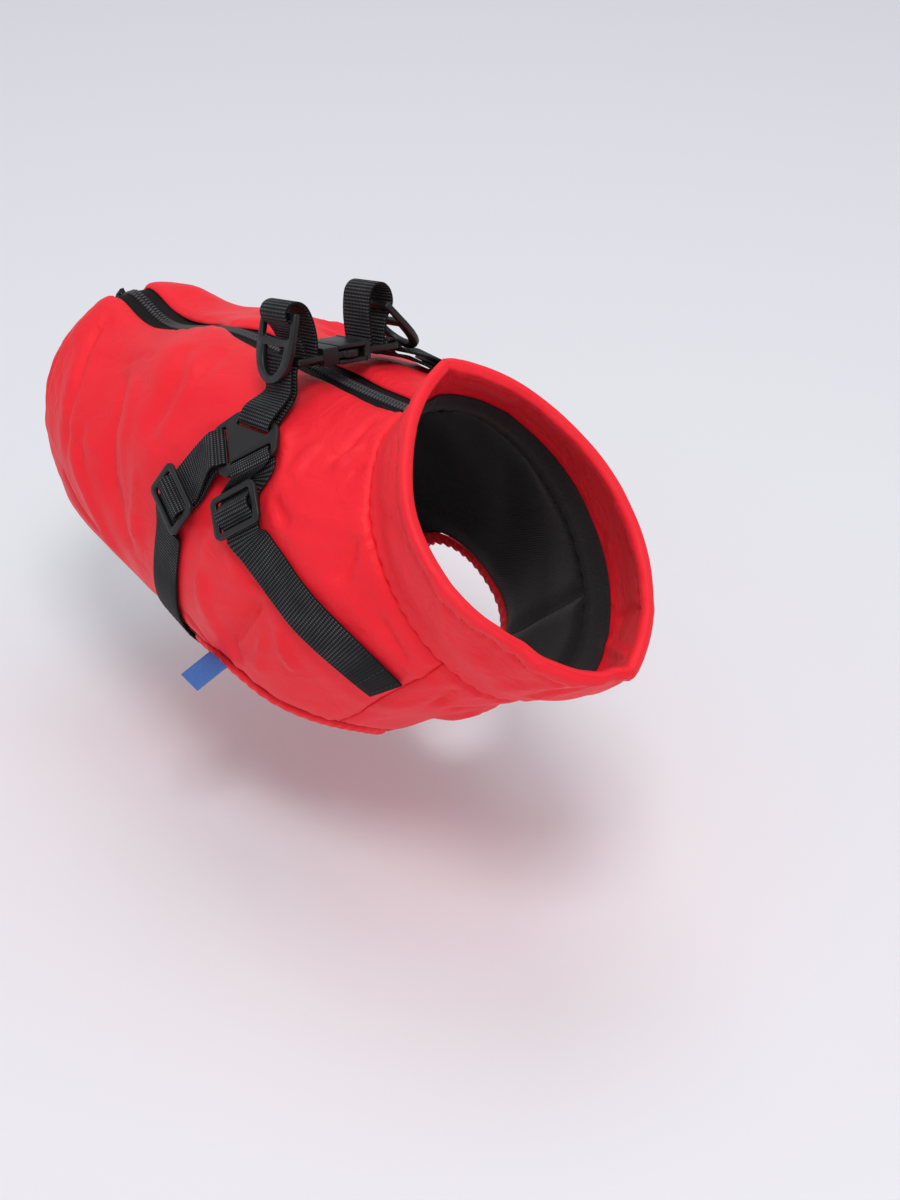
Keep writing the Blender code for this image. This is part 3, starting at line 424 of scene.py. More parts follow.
# Creases of the side panel that shows: places, width, height, steepness of its other side.
RIGHT_CREASES = (
    (((0.388, 29), (0.423, 36), (0.444, 48), (0.449, 69), (0.452, 85)), 7.5, -1.5, 0.4),
    (((0.42, 31), (0.457, 38), (0.479, 50), (0.484, 69), (0.487, 84)), 9, 0.8, 0.6),
    (((0.233, 17), (0.271, 32), (0.307, 44), (0.329, 62), (0.352, 78)), 8, -1.0, 0.5),
    (((0.501, 15), (0.538, 26), (0.540, 40), (0.532, 54)), 7, -0.9, 0.4),
    (((0.525, 17), (0.561, 28), (0.563, 40), (0.555, 52)), 6, 0.6, 0.6),
    (((0.543, 10), (0.558, 16), (0.566, 24), (0.560, 31)), 4, -0.8, 0.5),
    (((0.469, 25), (0.425, 24), (0.392, 26), (0.382, 30)), 5, -0.9, 0.4),
    (((0.371, 58), (0.382, 71), (0.394, 79)), 6, -0.8, 0.5),
    (((0.527, 62), (0.518, 80), (0.522, 92)), 7, 0.8, 0.5),
    (((0.461, 72), (0.480, 87), (0.505, 98)), 7, -1.0, 0.5),
    (((0.12, 34), (0.14, 52), (0.17, 72), (0.19, 88)), 9, -0.7, 0.5),
    (((0.36, 66), (0.39, 82), (0.43, 98), (0.45, 112)), 8, 1.0, 0.5),
    (((0.30, 84), (0.35, 97), (0.41, 108)), 7, -1.0, 0.5),
    (((0.80, 52), (0.827, 57), (0.85, 63)), 7, -1.2, 0.7),
    (((0.973, 68), (0.95, 75), (0.917, 84)), 6, -1.1, 0.5),
    (((0.777, 84), (0.72, 93), (0.67, 102), (0.667, 111)), 6, -1.6, 0.5),
    (((0.79, 96), (0.783, 102), (0.783, 112)), 5, 1.1, 0.5),
    (((0.96, 96), (0.958, 102), (0.953, 120)), 5, -0.9, 0.5),
    (((0.939, 15), (0.923, 30), (0.892, 41)), 5, -0.9, 0.5),
    (((0.978, 40), (0.948, 46)), 4.5, -0.7, 0.5),
    (((0.756, 25), (0.785, 35), (0.828, 50)), 8, 0.6, 0.5),
    (((0.640, 77), (0.647, 89), (0.662, 105)), 7, 0.7, 0.5),
    (((0.96, 30), (0.93, 36), (0.903, 42)), 5.5, 0.9, 0.5),
    (((0.64, 116), (0.60, 108), (0.57, 104)), 5, -1.1, 0.6),
    (((0.70, 112), (0.72, 104), (0.75, 98)), 5, 1.0, 0.5),
    (((0.86, 30), (0.84, 38), (0.83, 46)), 8, 0.9, 0.6),
)
LEFT_CREASES = (
    (((0.38, 34), (0.41, 44), (0.43, 58), (0.44, 72)), 7, -2.0, 0.45),
    (((0.41, 30), (0.44, 44), (0.465, 60)), 8, 1.3, 0.6),
    (((0.52, 20), (0.535, 36), (0.55, 52)), 6, 1.2, 0.4),
    (((0.57, 15), (0.58, 26), (0.59, 34)), 5, -1.2, 0.6),
    (((0.27, 32), (0.29, 50), (0.32, 70)), 8, -1.1, 0.5),
    (((0.15, 36), (0.18, 56), (0.20, 80)), 9, 0.9, 0.5),
    (((0.34, 78), (0.38, 92), (0.44, 108)), 8, -1.0, 0.5),
    (((0.84, 50), (0.86, 60), (0.87, 70)), 7, -1.2, 0.7),
    (((0.96, 60), (0.94, 72), (0.92, 82)), 6, -1.0, 0.5),
    (((0.80, 88), (0.74, 95), (0.69, 104)), 6, -1.5, 0.5),
    (((0.82, 100), (0.80, 108), (0.79, 116)), 5, 1.0, 0.5),
    (((0.95, 14), (0.93, 24), (0.92, 34)), 5.5, -1.0, 0.5),
    (((0.62, 112), (0.58, 104), (0.55, 98)), 5, -1.0, 0.6),
)
CHEST_CREASES = (
    (((0.90, 150), (0.93, 165), (0.95, 182)), 7, -1.3, 0.5),
    (((0.84, 160), (0.86, 175), (0.85, 195)), 8, 1.2, 0.6),
    (((0.72, 172), (0.74, 184), (0.73, 200)), 7, -1.2, 0.5),
    (((0.60, 165), (0.62, 180), (0.61, 198)), 8, 1.1, 0.5),
    (((0.44, 150), (0.46, 168), (0.45, 190)), 8, -1.1, 0.5),
    (((0.95, 205), (0.93, 215), (0.90, 226)), 6, 1.0, 0.5),
    (((0.97, 138), (0.94, 143), (0.90, 147)), 6, -1.1, 0.6),
    (((0.80, 212), (0.76, 205), (0.74, 196)), 6, -1.0, 0.5),
)


# The tables' creases are drawn this much higher and narrower, as crisp as the real nylon's.
CREASE_HEIGHT, CREASE_WIDTH = 2.5, 0.74
PUCKER_PITCH = 7.5  # mm from one seam pucker to the next
PRESSED_HALF, PRESSED_FADE, PRESSED_DEPTH = 15.5, 4.5, -0.35  # the cloth under a strap
SEAM_DEPTH, SEAM_HALF = 1.7, 1.5  # the groove along every edge, in mm


def strap_lines(side, shift):
    """The middles of a side's two straps on the flat pattern."""
    lines = []
    for rows in (CHEST_LINE, GIRTH_LINE):
        at = np.linspace(0, len(rows) - 1, 50)
        fade = np.minimum(1.0, 2 - 2 * np.linspace(0, 1, 50))
        s, a = smooth_rows(rows, at).T
        lines.append(flat(np.stack([s + shift * fade, side * a], 1)))
    return lines


def relief(places, edge, creases, straps, seed, side=1):
    """How high the cloth stands over its plain form: folds, seams, puckers, strap marks.

    It also gives how far each place is from the piece's edge.
    """
    points = flat(places)
    # The padding lies a little unevenly, in large and in small waves.
    high = soft_noise(points, 34, seed) * 0.8 + soft_noise(points, 13, seed + 5) * 0.22
    # Long fine wrinkles, drawn across the body.
    drawn = points @ np.array([[0.93, 0.37 * side], [-0.37 * side, 0.93]]).T
    high += soft_noise(drawn / np.array([26, 7.5]), 1.0, seed + 2) * 0.34
    for line, width, height, steep in creases:
        line = [(s, side * a) for s, a in line]
        high += CREASE_HEIGHT * crease(points, line, CREASE_WIDTH * width, height, steep)
    # Puckers along the seams, and the low swell that the padding makes beside them.
    away, _, run, total = along_line(points, edge, True)
    pucker = np.sin(run * total * 2 * math.pi / PUCKER_PITCH
                    + 3.4 * soft_noise(points, 25, seed + 9))
    uneven = np.clip(soft_noise(points, 19, seed + 7) + 0.5, 0, 1.3)
    high += 0.62 * uneven * pucker * np.exp(-away / 5.0) * np.clip(away / 1.5, 0, 1)
    high += 0.45 * np.exp(-(((away - 7) / 5) ** 2))
    # A strap presses the cloth flat, and the cloth swells a little on both sides of it.
    for line in straps:
        off = along_line(points, line)[0]
        under = np.clip((PRESSED_HALF - off) / PRESSED_FADE, 0, 1)
        under = under * under * (3 - 2 * under)
        high += 0.7 * np.exp(-(((off - (PRESSED_HALF + 0.5)) / PRESSED_FADE) ** 2))
        high = high * (1 - under) + np.minimum(high, PRESSED_DEPTH) * under
    return high - SEAM_DEPTH * np.exp(-((away / SEAM_HALF) ** 2)), away


WAVE = 0.314  # a wave pattern repeats every WAVE / Scale metres

nylon, tree, shader = start_material("woven_nylon_taffeta_red", "F82332", 0.50)
# Taffeta is a plain weave with a low satin gloss.  Its threads are too fine to show, so the weave
# is drawn at 0.5 mm, with slow waves of colour where the padding lies unevenly.
place = add_node(tree, "ShaderNodeTexCoord").outputs["UV"]
warp = add_node(tree, "ShaderNodeTexWave", {"Vector": place, "Scale": WAVE / 0.0005},
                bands_direction="X")
weft = add_node(tree, "ShaderNodeTexWave", {"Vector": place, "Scale": WAVE / 0.0005},
                bands_direction="Y")
weave = add_node(tree, "ShaderNodeMath", {0: warp.outputs["Fac"], 1: weft.outputs["Fac"]},
                 operation="MAXIMUM")
cockle = add_node(tree, "ShaderNodeTexNoise", {"Vector": place, "Scale": 85.0, "Detail": 3.0,
                                               "Roughness": 0.5, "Distortion": 0.9})
shade = add_node(tree, "ShaderNodeTexNoise", {"Vector": place, "Scale": 28.0, "Detail": 2.0})
tone = add_node(tree, "ShaderNodeMix", {"Factor": shade.outputs["Fac"], "A": linear("F01C2B"),
                                        "B": linear("FF2A38")}, data_type="RGBA")
tree.links.new(tone.outputs["Result"], shader.inputs["Base Color"])
fine = add_node(tree, "ShaderNodeBump", {"Height": weave.outputs[0], "Strength": 0.10,
                                         "Distance": 0.0001})
soft = add_node(tree, "ShaderNodeBump", {"Height": cockle.outputs["Fac"], "Strength": 0.6,
                                         "Distance": 0.0016, "Normal": fine.outputs["Normal"]})
tree.links.new(soft.outputs["Normal"], shader.inputs["Normal"])
shader.inputs["Sheen Weight"].default_value = 0.02
shader.inputs["Specular IOR Level"].default_value = 0.22

SHELL_SPACING = 2.4  # mm between the points of a shell panel
side_places, side_faces, side_edge = cut_piece(side_outline(), SHELL_SPACING)
chest_places, chest_faces, chest_edge = cut_piece(chest_outline(), SHELL_SPACING)


def hand_over(piece, node, body="root"):
    """A finished piece stands for its CAD node and rides on its body."""
    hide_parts(node)
    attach(piece, body)


def padded_panel(name, places, faces, edge, creases, straps, seed, side=1):
    """One shell panel: its face has the relief, and its back follows at the cloth's thickness."""
    high, away = relief(places, edge, creases, straps, seed, side)
    back = high * 0.6 - CLOTH + 0.75 * np.exp(-((away / 1.4) ** 2))
    return sew_piece(name, places, faces, high, back, nylon)


def mirrored(places, faces, edge):
    """The same piece for the left side, with its face outwards."""
    flip = np.array([1, -1])
    return places * flip, [f[::-1] for f in faces], edge * flip


left_places, left_faces, left_edge = mirrored(side_places, side_faces, side_edge)
shell_right = padded_panel("shell_side_right", side_places, side_faces, side_edge, RIGHT_CREASES,
                           strap_lines(1, 0.0), 3.0)
shell_left = padded_panel("shell_side_left", left_places, left_faces, left_edge, LEFT_CREASES,
                          strap_lines(-1, HARNESS_SHIFT), 11.0, -1)
left_under = [line + [0, 2 * math.pi * AROUND] for line in strap_lines(-1, HARNESS_SHIFT)]
shell_chest = padded_panel("shell_chest", chest_places, chest_faces, chest_edge, CHEST_CREASES,
                           [*strap_lines(1, 0.0), *left_under], 7.0)
hand_over(shell_right, "side_right")
hand_over(shell_left, "side_left")
hand_over(shell_chest, "chest_panel")

# ---------------------------------------------------------------- lining
# A thin black knitted lining inside the shell, cut on nearly the same pieces.  At its edges it
# closes up to the shell, where the two are sewn together; over the zip tapes it hangs free.
knit, tree, shader = start_material("knitted_polyester_lining_black", "1B1A1C", 0.85)
# Warp knit is matt, with fine columns of loops; they are drawn 1.2 mm apart so that they show.
place = add_node(tree, "ShaderNodeTexCoord").outputs["UV"]
loops = add_node(tree, "ShaderNodeTexWave", {"Vector": place, "Scale": WAVE / 0.0012,
                                             "Distortion": 0.8, "Detail": 1.0},
                 bands_direction="Y")
fuzz = add_node(tree, "ShaderNodeTexNoise", {"Vector": place, "Scale": 900.0, "Detail": 2.0})
yarn = add_node(tree, "ShaderNodeMix", {"Factor": loops.outputs["Fac"], "A": linear("0B0A0C"),
                                        "B": linear("1A191C")}, data_type="RGBA")
tree.links.new(yarn.outputs["Result"], shader.inputs["Base Color"])
columns = add_node(tree, "ShaderNodeBump", {"Height": loops.outputs["Fac"], "Strength": 0.5,
                                            "Distance": 0.0002})
nap = add_node(tree, "ShaderNodeBump", {"Height": fuzz.outputs["Fac"], "Strength": 0.3,
                                        "Distance": 0.0002,
                                        "Normal": columns.outputs["Normal"]})
tree.links.new(nap.outputs["Normal"], shader.inputs["Normal"])
shader.inputs["Sheen Weight"].default_value = 0.1

LINING_SPACING = 4.0
LINING_HIGH = -CLOTH - TAPE - 2 * TAPE_ROOM  # its height on the form, under the zip's tapes
LINING_THICK = 0.6
ZIP_CLEARANCE = 5.8  # how far its edges stay from the middle of the zip
FREE_HALF, FREE_FADE = 24, 8  # the band along the zip in which it hangs free of the shell
line_places, line_faces, line_edge = cut_piece(side_outline(ZIP_CLEARANCE), LINING_SPACING)
under_places, under_faces, under_edge = cut_piece(chest_outline(), LINING_SPACING)


def hang_lining(name, places, faces, edge, seed):
    """A lining piece that rises to the shell's back at its edges, but not beside the zip."""
    points = flat(places)
    away = along_line(points, edge, True)[0]
    clear_of_zip = np.clip((np.abs(points[:, 1]) - FREE_HALF) / FREE_FADE, 0, 1)
    face = LINING_HIGH - 0.3 + 0.35 * soft_noise(points, 22, seed)
    rise = -LINING_HIGH - CLOTH + 0.15  # up to just under the shell's back
    face += rise * np.exp(-((away / 4.0) ** 2)) * clear_of_zip
    return sew_piece(name, places, faces, face, face - LINING_THICK, knit)


lining_pieces = (
    (hang_lining("lining_side_right", line_places, line_faces, line_edge, 21.0), "lining_right"),
    (hang_lining("lining_side_left", *mirrored(line_places, line_faces, line_edge), 23.0),
     "lining_left"),
    (hang_lining("lining_under_chest", under_places, under_faces, under_edge, 25.0),
     "lining_chest"),
)
for piece, node in lining_pieces:
    hand_over(piece, node)

# ---------------------------------------------------------------- collar
# A stand-up collar of two layers of the shell cloth with padding, turned at the rim, which has
# a soft fold in front.  The lower half of its inside is faced with the black lining.
NECK, RIM = 1 + GAP / ALONG, 4 / 3  # stations of its two edges
RIM_BAND, RIM_ROLL = 8.0, 1.5  # mm to the rim's stitches, and how much each side swells
COLLAR_PUCKER_PITCH = 9.5
FRONT_BULGE = ((1.30, 128), (1.30, 146), (1.29, 165))  # the soft fold in front
COLLAR_CREASES = (
    (((1.33, 150), (1.26, 146), (1.16, 140), (1.06, 137)), 6, 1.7, 0.5),
    (((1.33, 163), (1.28, 158), (1.20, 152), (1.10, 150)), 6, -1.6, 0.5),
    (((1.33, 118), (1.27, 121), (1.19, 124)), 6, -1.3, 0.5),
    (((1.33, 98), (1.25, 104), (1.12, 112)), 8, 1.0, 0.5),
    (((1.05, 60), (1.14, 66), (1.24, 76)), 8, -1.0, 0.5),
    (((1.33, 40), (1.22, 44), (1.08, 46)), 8, 0.9, 0.5),
    (((1.30, 200), (1.20, 208), (1.08, 214)), 7, -1.5, 0.5),
    (((1.33, 222), (1.24, 226), (1.12, 224)), 7, 1.3, 0.5),
    (((1.33, 262), (1.22, 258), (1.10, 250)), 8, -1.1, 0.5),
    (((1.30, 310), (1.20, 316), (1.08, 318)), 8, 1.0, 0.5),
    (((1.33, 345), (1.22, 350), (1.10, 352)), 8, -0.9, 0.5),
    (((1.33, 182), (1.24, 180), (1.10, 184)), 7, 1.0, 0.5),
)


def rim_share(turn):
    """Real mm per mm of the pattern below the rim: the collar is lower at the back."""
    return 0.38 + 0.32 * (1 - np.cos(turn)) / 2


def rim_distance(points):
    """How far below the rim a place is in mm."""
    return (RIM * ALONG - points[:, 0]) * rim_share(points[:, 1] / AROUND)


def collar_relief(points):
    """The folds, the padding and the stitched rim of the collar, over its plain form."""
    high = soft_noise(points, 30, 31.0) * 0.5
    for line, width, height, steep in COLLAR_CREASES:
        high += crease(points, line, width, height, steep)
    down = rim_distance(points)
    up = points[:, 0] - NECK * ALONG
    pucker = np.sin(points[:, 1] * 2 * math.pi / COLLAR_PUCKER_PITCH
                    + 2.5 * soft_noise(points, 30, 33.0))
    high += 0.5 * pucker * (np.exp(-up / 5.0) + 0.9 * np.exp(-((down - RIM_BAND) / 3) ** 2))
    high += crease(points, FRONT_BULGE, 26, 3.2, 1.0)
    return high - 1.25 * np.exp(-((up / 1.7) ** 2))


def rim_puff(points):
    """How much the turned rim swells on each side over its row of stitches."""
    down = rim_distance(points)
    uneven = 1 + 0.16 * soft_noise(points, 24, 35.0)
    roll = np.exp(-(((down - 3.2) / 3.4) ** 4)) * uneven
    return RIM_ROLL * roll - 0.55 * np.exp(-(((down - RIM_BAND) / 1.3) ** 2))


def ring_faces(rings, count):
    """The faces of a closed ring, from rings of points that are closed both ways."""
    faces = []
    for j in range(rings):
        k = (j + 1) % rings
        for i in range(count):
            m = (i + 1) % count
            faces.append([j * count + i, j * count + m, k * count + m, k * count + i])
    return faces


def hoop(name, section, count, finish):
    """A closed band round the neck, from a section of stations, heights and shares of relief.

    A share below zero is on the inner face, where the rim swells inwards.
    """
    verts, uvs = [], []
    angles = np.arange(count) * 360 / count
    for station, out, share in section:
        s = np.full(count, station)
        points = flat(np.stack([s, angles], 1))
        high = collar_relief(points) * abs(share) + rim_puff(points) * np.sign(share)
        verts.append(cloth(s, angles, high + out))
        uvs.append(points)
    return mesh_piece(name, np.vstack(verts), ring_faces(len(section), count), finish,
                      np.vstack(uvs))


RIM_END = RIM - 0.012  # the station where the cloth starts to turn over
rows = list(np.linspace(NECK, RIM_END, 44))
outer = [(s, 0.0, 1.0) for s in rows]
half_turn = []
for t in np.radians((20, 40, 60, 80, 100, 120, 140, 160)):
    out = -CLOTH / 2 + (CLOTH / 2 + RIM_ROLL) * math.cos(t)
    half_turn.append((RIM_END + 0.0118 * math.sin(t), out - RIM_ROLL * np.sign(math.cos(t)),
                      0.9 * np.sign(math.cos(t))))
inner_side = [(s, -CLOTH - 0.2 + 0.9 * math.exp(-((s - NECK) * ALONG / 3) ** 2), -0.8)
              for s in reversed(rows)]
collar = hoop("collar_cloth", outer + half_turn + inner_side, 320, nylon)
hand_over(collar, "collar")

FACING_SHARE = 0.33  # how much of the collar's height is faced
low_rows = list(np.linspace(NECK, NECK + FACING_SHARE * (RIM - NECK), 10))
deep = -CLOTH - 0.9
facing = [(s, deep, 0.7) for s in low_rows] + [(s, deep - 0.7, 0.7) for s in reversed(low_rows)]
collar_facing = hoop("collar_facing", facing, 180, knit)
hand_over(collar_facing, "collar_lining")

# ---------------------------------------------------------------- armhole bindings
# A strip of the shell cloth, 4 mm wide, turned over a narrow elastic, which gathers the edge
# of each armhole into small puckers.
BINDING_WIDTH = 4.2
GATHERS = 44  # puckers round one armhole


def bind_armhole(name, side, seed):
    """A rounded, gathered band along the edge of an armhole."""
    count, around = 420, 14
    turn = np.arange(count) * 360 / count
    rng = np.random.default_rng(seed)
    waves = rng.uniform(0.7, 1.3, 64)
    gather = np.interp(turn, np.linspace(0, 360, 64), waves)
    pucker = np.sin(np.radians(turn) * GATHERS + 1.4 * np.sin(np.radians(turn) * 5)) * gather
    verts, uvs = [], []
    for j in range(around):
        t = 2 * math.pi * j / around
        across = -GAP - BINDING_WIDTH / 2 + BINDING_WIDTH / 2 * math.copysign(
            abs(math.cos(t)) ** 0.8, math.cos(t))
        outside = (1 - math.cos(t)) / 2
        up = -CLOTH / 2 + (CLOTH / 2 + 0.55) * math.copysign(abs(math.sin(t)) ** 0.8, math.sin(t))
        edge = 0.55 * pucker * outside
        s, a = armhole(turn, across - 0.2 + edge * 0.8).T
        verts.append(cloth(s, side * a, up + 0.28 * pucker * (0.4 + outside) * math.sin(t)))
        uvs.append(np.stack([turn * 0.55, np.full(count, j * 0.8)], 1))
    return mesh_piece(name, np.vstack(verts), ring_faces(around, count), nylon, np.vstack(uvs))


for word, side, seed in (("right", 1, 5), ("left", -1, 6)):
    binding = bind_armhole(f"gathered_binding_{word}", side, seed)
    hand_over(binding, f"armhole_binding_{word}")

# ---------------------------------------------------------------- zip
# A closed coil zip along the back: two woven tapes under the cloth's edges, a nylon coil with
# teeth 2 mm apart, and a lacquered zinc slider with its pull at the tail end.
woven_tape, tree, shader = start_material("woven_polyester_zip_tape_black", "2D2B2B", 0.8)
# The tape is a close herringbone; its ribs run along it, drawn 0.9 mm apart.
place = add_node(tree, "ShaderNodeTexCoord").outputs["UV"]
ribs = add_node(tree, "ShaderNodeTexWave", {"Vector": place, "Scale": WAVE / 0.0009},
                bands_direction="Y")
picks = add_node(tree, "ShaderNodeTexWave", {"Vector": place, "Scale": WAVE / 0.0007},
                 bands_direction="DIAGONAL")
mixed = add_node(tree, "ShaderNodeMath", {0: ribs.outputs["Fac"], 1: picks.outputs["Fac"]},
                 operation="MULTIPLY")
yarn = add_node(tree, "ShaderNodeMix", {"Factor": mixed.outputs[0], "A": linear("070708"),
                                        "B": linear("1C1B1C")}, data_type="RGBA")
tree.links.new(yarn.outputs["Result"], shader.inputs["Base Color"])
raised = add_node(tree, "ShaderNodeBump", {"Height": mixed.outputs[0], "Strength": 0.6,
                                           "Distance": 0.00025})
tree.links.new(raised.outputs["Normal"], shader.inputs["Normal"])
shader.inputs["Specular IOR Level"].default_value = 0.25

TAPE_INNER, TAPE_OUTER = 0.9, 13.5  # mm from the middle of the back
TAPE_THICK, TAPE_START, TAPE_END = 0.6, 0.004, 0.985
CHAIN_START, CHAIN_END = 0.0335, 0.98
COIL_PITCH, COIL_HALF = 2.0, 1.35  # from turn to turn, and from the middle to each side's turns


def back_strip(name, low, high, heights, thick, finish, first, last, count):
    """A strip along the back between two distances from its middle, with a height per column."""
    stations = np.linspace(first, last, count + 1)
    columns = len(heights)
    verts, uvs = [], []
    for under in (0, thick):
        for j, out in enumerate(heights):
            y = low + (high - low) * j / (columns - 1)
            angle = math.copysign(1, y) * zip_angle(stations, np.full(count + 1, abs(y)))
            verts.append(cloth(stations, angle, out - under))
            uvs.append(np.stack([stations * ALONG, np.full(count + 1, y)], 1))
    loop = list(range(columns)) + [columns + j for j in reversed(range(columns))]
    n = count + 1
    faces = [[loop[j] * n for j in range(len(loop))],
             [loop[j] * n + count for j in reversed(range(len(loop)))]]
    for j in range(len(loop)):
        a, b = loop[j] * n, loop[(j + 1) % len(loop)] * n
        faces += [[a + i, a + i + 1, b + i + 1, b + i] for i in range(count)]
    return mesh_piece(name, np.vstack(verts), faces, finish, np.vstack(uvs))


tape_top = -CLOTH - TAPE_ROOM
for word, way in (("right", 1), ("left", -1)):
    heights = [tape_top + 0.1, tape_top + 0.25, tape_top, tape_top - 0.1, tape_top - 0.1]
    tape = back_strip(f"woven_tape_{word}", way * TAPE_INNER, way * TAPE_OUTER, heights,
                      TAPE_THICK, woven_tape, TAPE_START, TAPE_END, 150)
    hand_over(tape, f"zip_tape_{word}")


def repeat_tree(name):
    """Lays a small piece again and again along a line, turned by the line's own directions.

    Each point of the line holds the directions "along" and "up".  The piece is drawn at the
    origin, with its length on X and its top on Z.
    """
    tree = bpy.data.node_groups.new(name, "GeometryNodeTree")
    face = tree.interface
    face.new_socket("Line", in_out="INPUT", socket_type="NodeSocketGeometry")
    face.new_socket("Pitch", in_out="INPUT", socket_type="NodeSocketFloat")
    face.new_socket("Piece", in_out="INPUT", socket_type="NodeSocketObject")
    face.new_socket("Finish", in_out="INPUT", socket_type="NodeSocketMaterial")
    face.new_socket("Unevenness", in_out="INPUT", socket_type="NodeSocketFloat")
    face.new_socket("Row", in_out="OUTPUT", socket_type="NodeSocketGeometry")
    given = add_node(tree, "NodeGroupInput")
    curve = add_node(tree, "GeometryNodeMeshToCurve", {"Mesh": given.outputs["Line"]})
    spaced = add_node(tree, "GeometryNodeResampleCurve", {"Curve": curve.outputs["Curve"],
                                                          "Length": given.outputs["Pitch"]},
                      mode="LENGTH")
    source = add_node(tree, "GeometryNodeObjectInfo", {"Object": given.outputs["Piece"]})
    along = add_node(tree, "GeometryNodeInputNamedAttribute", {"Name": "along"},
                     data_type="FLOAT_VECTOR")
    up = add_node(tree, "GeometryNodeInputNamedAttribute", {"Name": "up"},
                  data_type="FLOAT_VECTOR")
    upright = add_node(tree, "FunctionNodeAlignRotationToVector",
                       {"Vector": up.outputs["Attribute"]}, axis="Z")
    turned = add_node(tree, "FunctionNodeAlignRotationToVector",
                      {"Rotation": upright.outputs["Rotation"],
                       "Vector": along.outputs["Attribute"]}, axis="X", pivot_axis="Z")
    least = add_node(tree, "ShaderNodeMath", {0: 1.0, 1: given.outputs["Unevenness"]},
                     operation="SUBTRACT")
    most = add_node(tree, "ShaderNodeMath", {0: 1.0, 1: given.outputs["Unevenness"]},
                    operation="ADD")
    size = add_node(tree, "FunctionNodeRandomValue",
                    {2: least.outputs[0], 3: most.outputs[0], "Seed": 4}, data_type="FLOAT")
    laid = add_node(tree, "GeometryNodeInstanceOnPoints",
                    {"Points": spaced.outputs["Curve"], "Instance": source.outputs["Geometry"],
                     "Rotation": turned.outputs["Rotation"], "Scale": size.outputs[1]})
    real = add_node(tree, "GeometryNodeRealizeInstances", {"Geometry": laid.outputs["Instances"]})
    painted = add_node(tree, "GeometryNodeSetMaterial", {"Geometry": real.outputs["Geometry"],
                                                         "Material": given.outputs["Finish"]})
    add_node(tree, "NodeGroupOutput", {"Row": painted.outputs["Geometry"]})
    return tree


REPEAT = repeat_tree("repeat_along_line")


def line_mesh(name, lines):
    """A mesh of open lines; each point is a place in mm, its direction along and its up."""
    mesh = bpy.data.meshes.new(name)
    points, edges, alongs, ups = [], [], [], []
    for places, up in lines:
        start = len(points)
        points += (places * MM).tolist()
        edges += [(start + i, start + i + 1) for i in range(len(places) - 1)]
        alongs.append(np.gradient(places, axis=0))
        ups.append(up)
    mesh.from_pydata(points, edges, [])
    for key, values in (("along", np.vstack(alongs)), ("up", np.vstack(ups))):
        layer = mesh.attributes.new(key, "FLOAT_VECTOR", "POINT")
        layer.data.foreach_set("vector", values.astype(np.float32).ravel())
    made = bpy.data.objects.new(name, mesh)
    scene.collection.objects.link(made)
    return made


def repeat_piece(name, lines, piece, pitch, finish, uneven=0.0):
    """The finished row of small pieces along the lines, as one plain mesh."""
    guide = line_mesh(name + "_line", lines)
    step = guide.modifiers.new("row", "NODES")
    step.node_group = REPEAT
    keys = {item.name: item.identifier for item in REPEAT.interface.items_tree
            if item.in_out == "INPUT"}
    step[keys["Pitch"]] = pitch * MM
    step[keys["Piece"]] = piece
    step[keys["Finish"]] = finish
    step[keys["Unevenness"]] = uneven
    graph = bpy.context.evaluated_depsgraph_get()
    mesh = bpy.data.meshes.new_from_object(guide.evaluated_get(graph))
    guide.modifiers.remove(step)
    bpy.data.objects.remove(guide, do_unlink=True)
    mesh.name = name
    made = bpy.data.objects.new(name, mesh)
    scene.collection.objects.link(made)
    return made


def small_piece(name, sizes, rings=4, sides=6):
    """A small rounded bar: its length on X, its width on Y and its height on Z, in mm."""
    mesh = bpy.data.meshes.new(name)
    work = bmesh.new()
    turn = Matrix.Rotation(math.pi / 2, 4, "Y")
    bmesh.ops.create_uvsphere(work, u_segments=sides, v_segments=rings, radius=0.5 * MM,
                              matrix=turn)
    for v in work.verts:
        v.co.x *= sizes[0]
        v.co.y *= sizes[1]
        v.co.z *= sizes[2]
    work.to_mesh(mesh)
    work.free()
    mesh.shade_smooth()
    made = bpy.data.objects.new(name, mesh)
    scene.collection.objects.link(made)
    return made


coil_nylon, tree, shader = start_material("nylon_zip_coil_black", "424244", 0.30)
# Drawn nylon wire is smooth, with a soft gloss on each turn of the coil, duller where it is
# dusty, in spots of 2.5 mm.
place = add_node(tree, "ShaderNodeTexCoord").outputs["Object"]
dust = add_node(tree, "ShaderNodeTexNoise", {"Vector": place, "Scale": 400.0, "Detail": 2.0})
gloss = add_node(tree, "ShaderNodeMapRange", {"Value": dust.outputs["Fac"], "To Min": 0.3,
                                              "To Max": 0.5})
tree.links.new(gloss.outputs["Result"], shader.inputs["Roughness"])

COIL_TURN = (1.25, 3.2, 2.0)  # length, width and height of one turn
turn_of_coil = small_piece("turn_of_coil", COIL_TURN, 6, 8)
stations = np.linspace(CHAIN_START, CHAIN_END, 260)
coil_lines = []
for way, lag in ((1, 0.0), (-1, 0.5)):
    s = stations + lag * COIL_PITCH / ALONG
    angle = way * zip_angle(s, np.full(len(s), COIL_HALF))
    coil_lines.append((cloth(s, angle, tape_top + 0.55), form_normal(s, angle)))
coil = repeat_piece("zip_coil", coil_lines, turn_of_coil, COIL_PITCH, coil_nylon)
bpy.data.objects.remove(turn_of_coil, do_unlink=True)
hand_over(coil, "zip_chain")

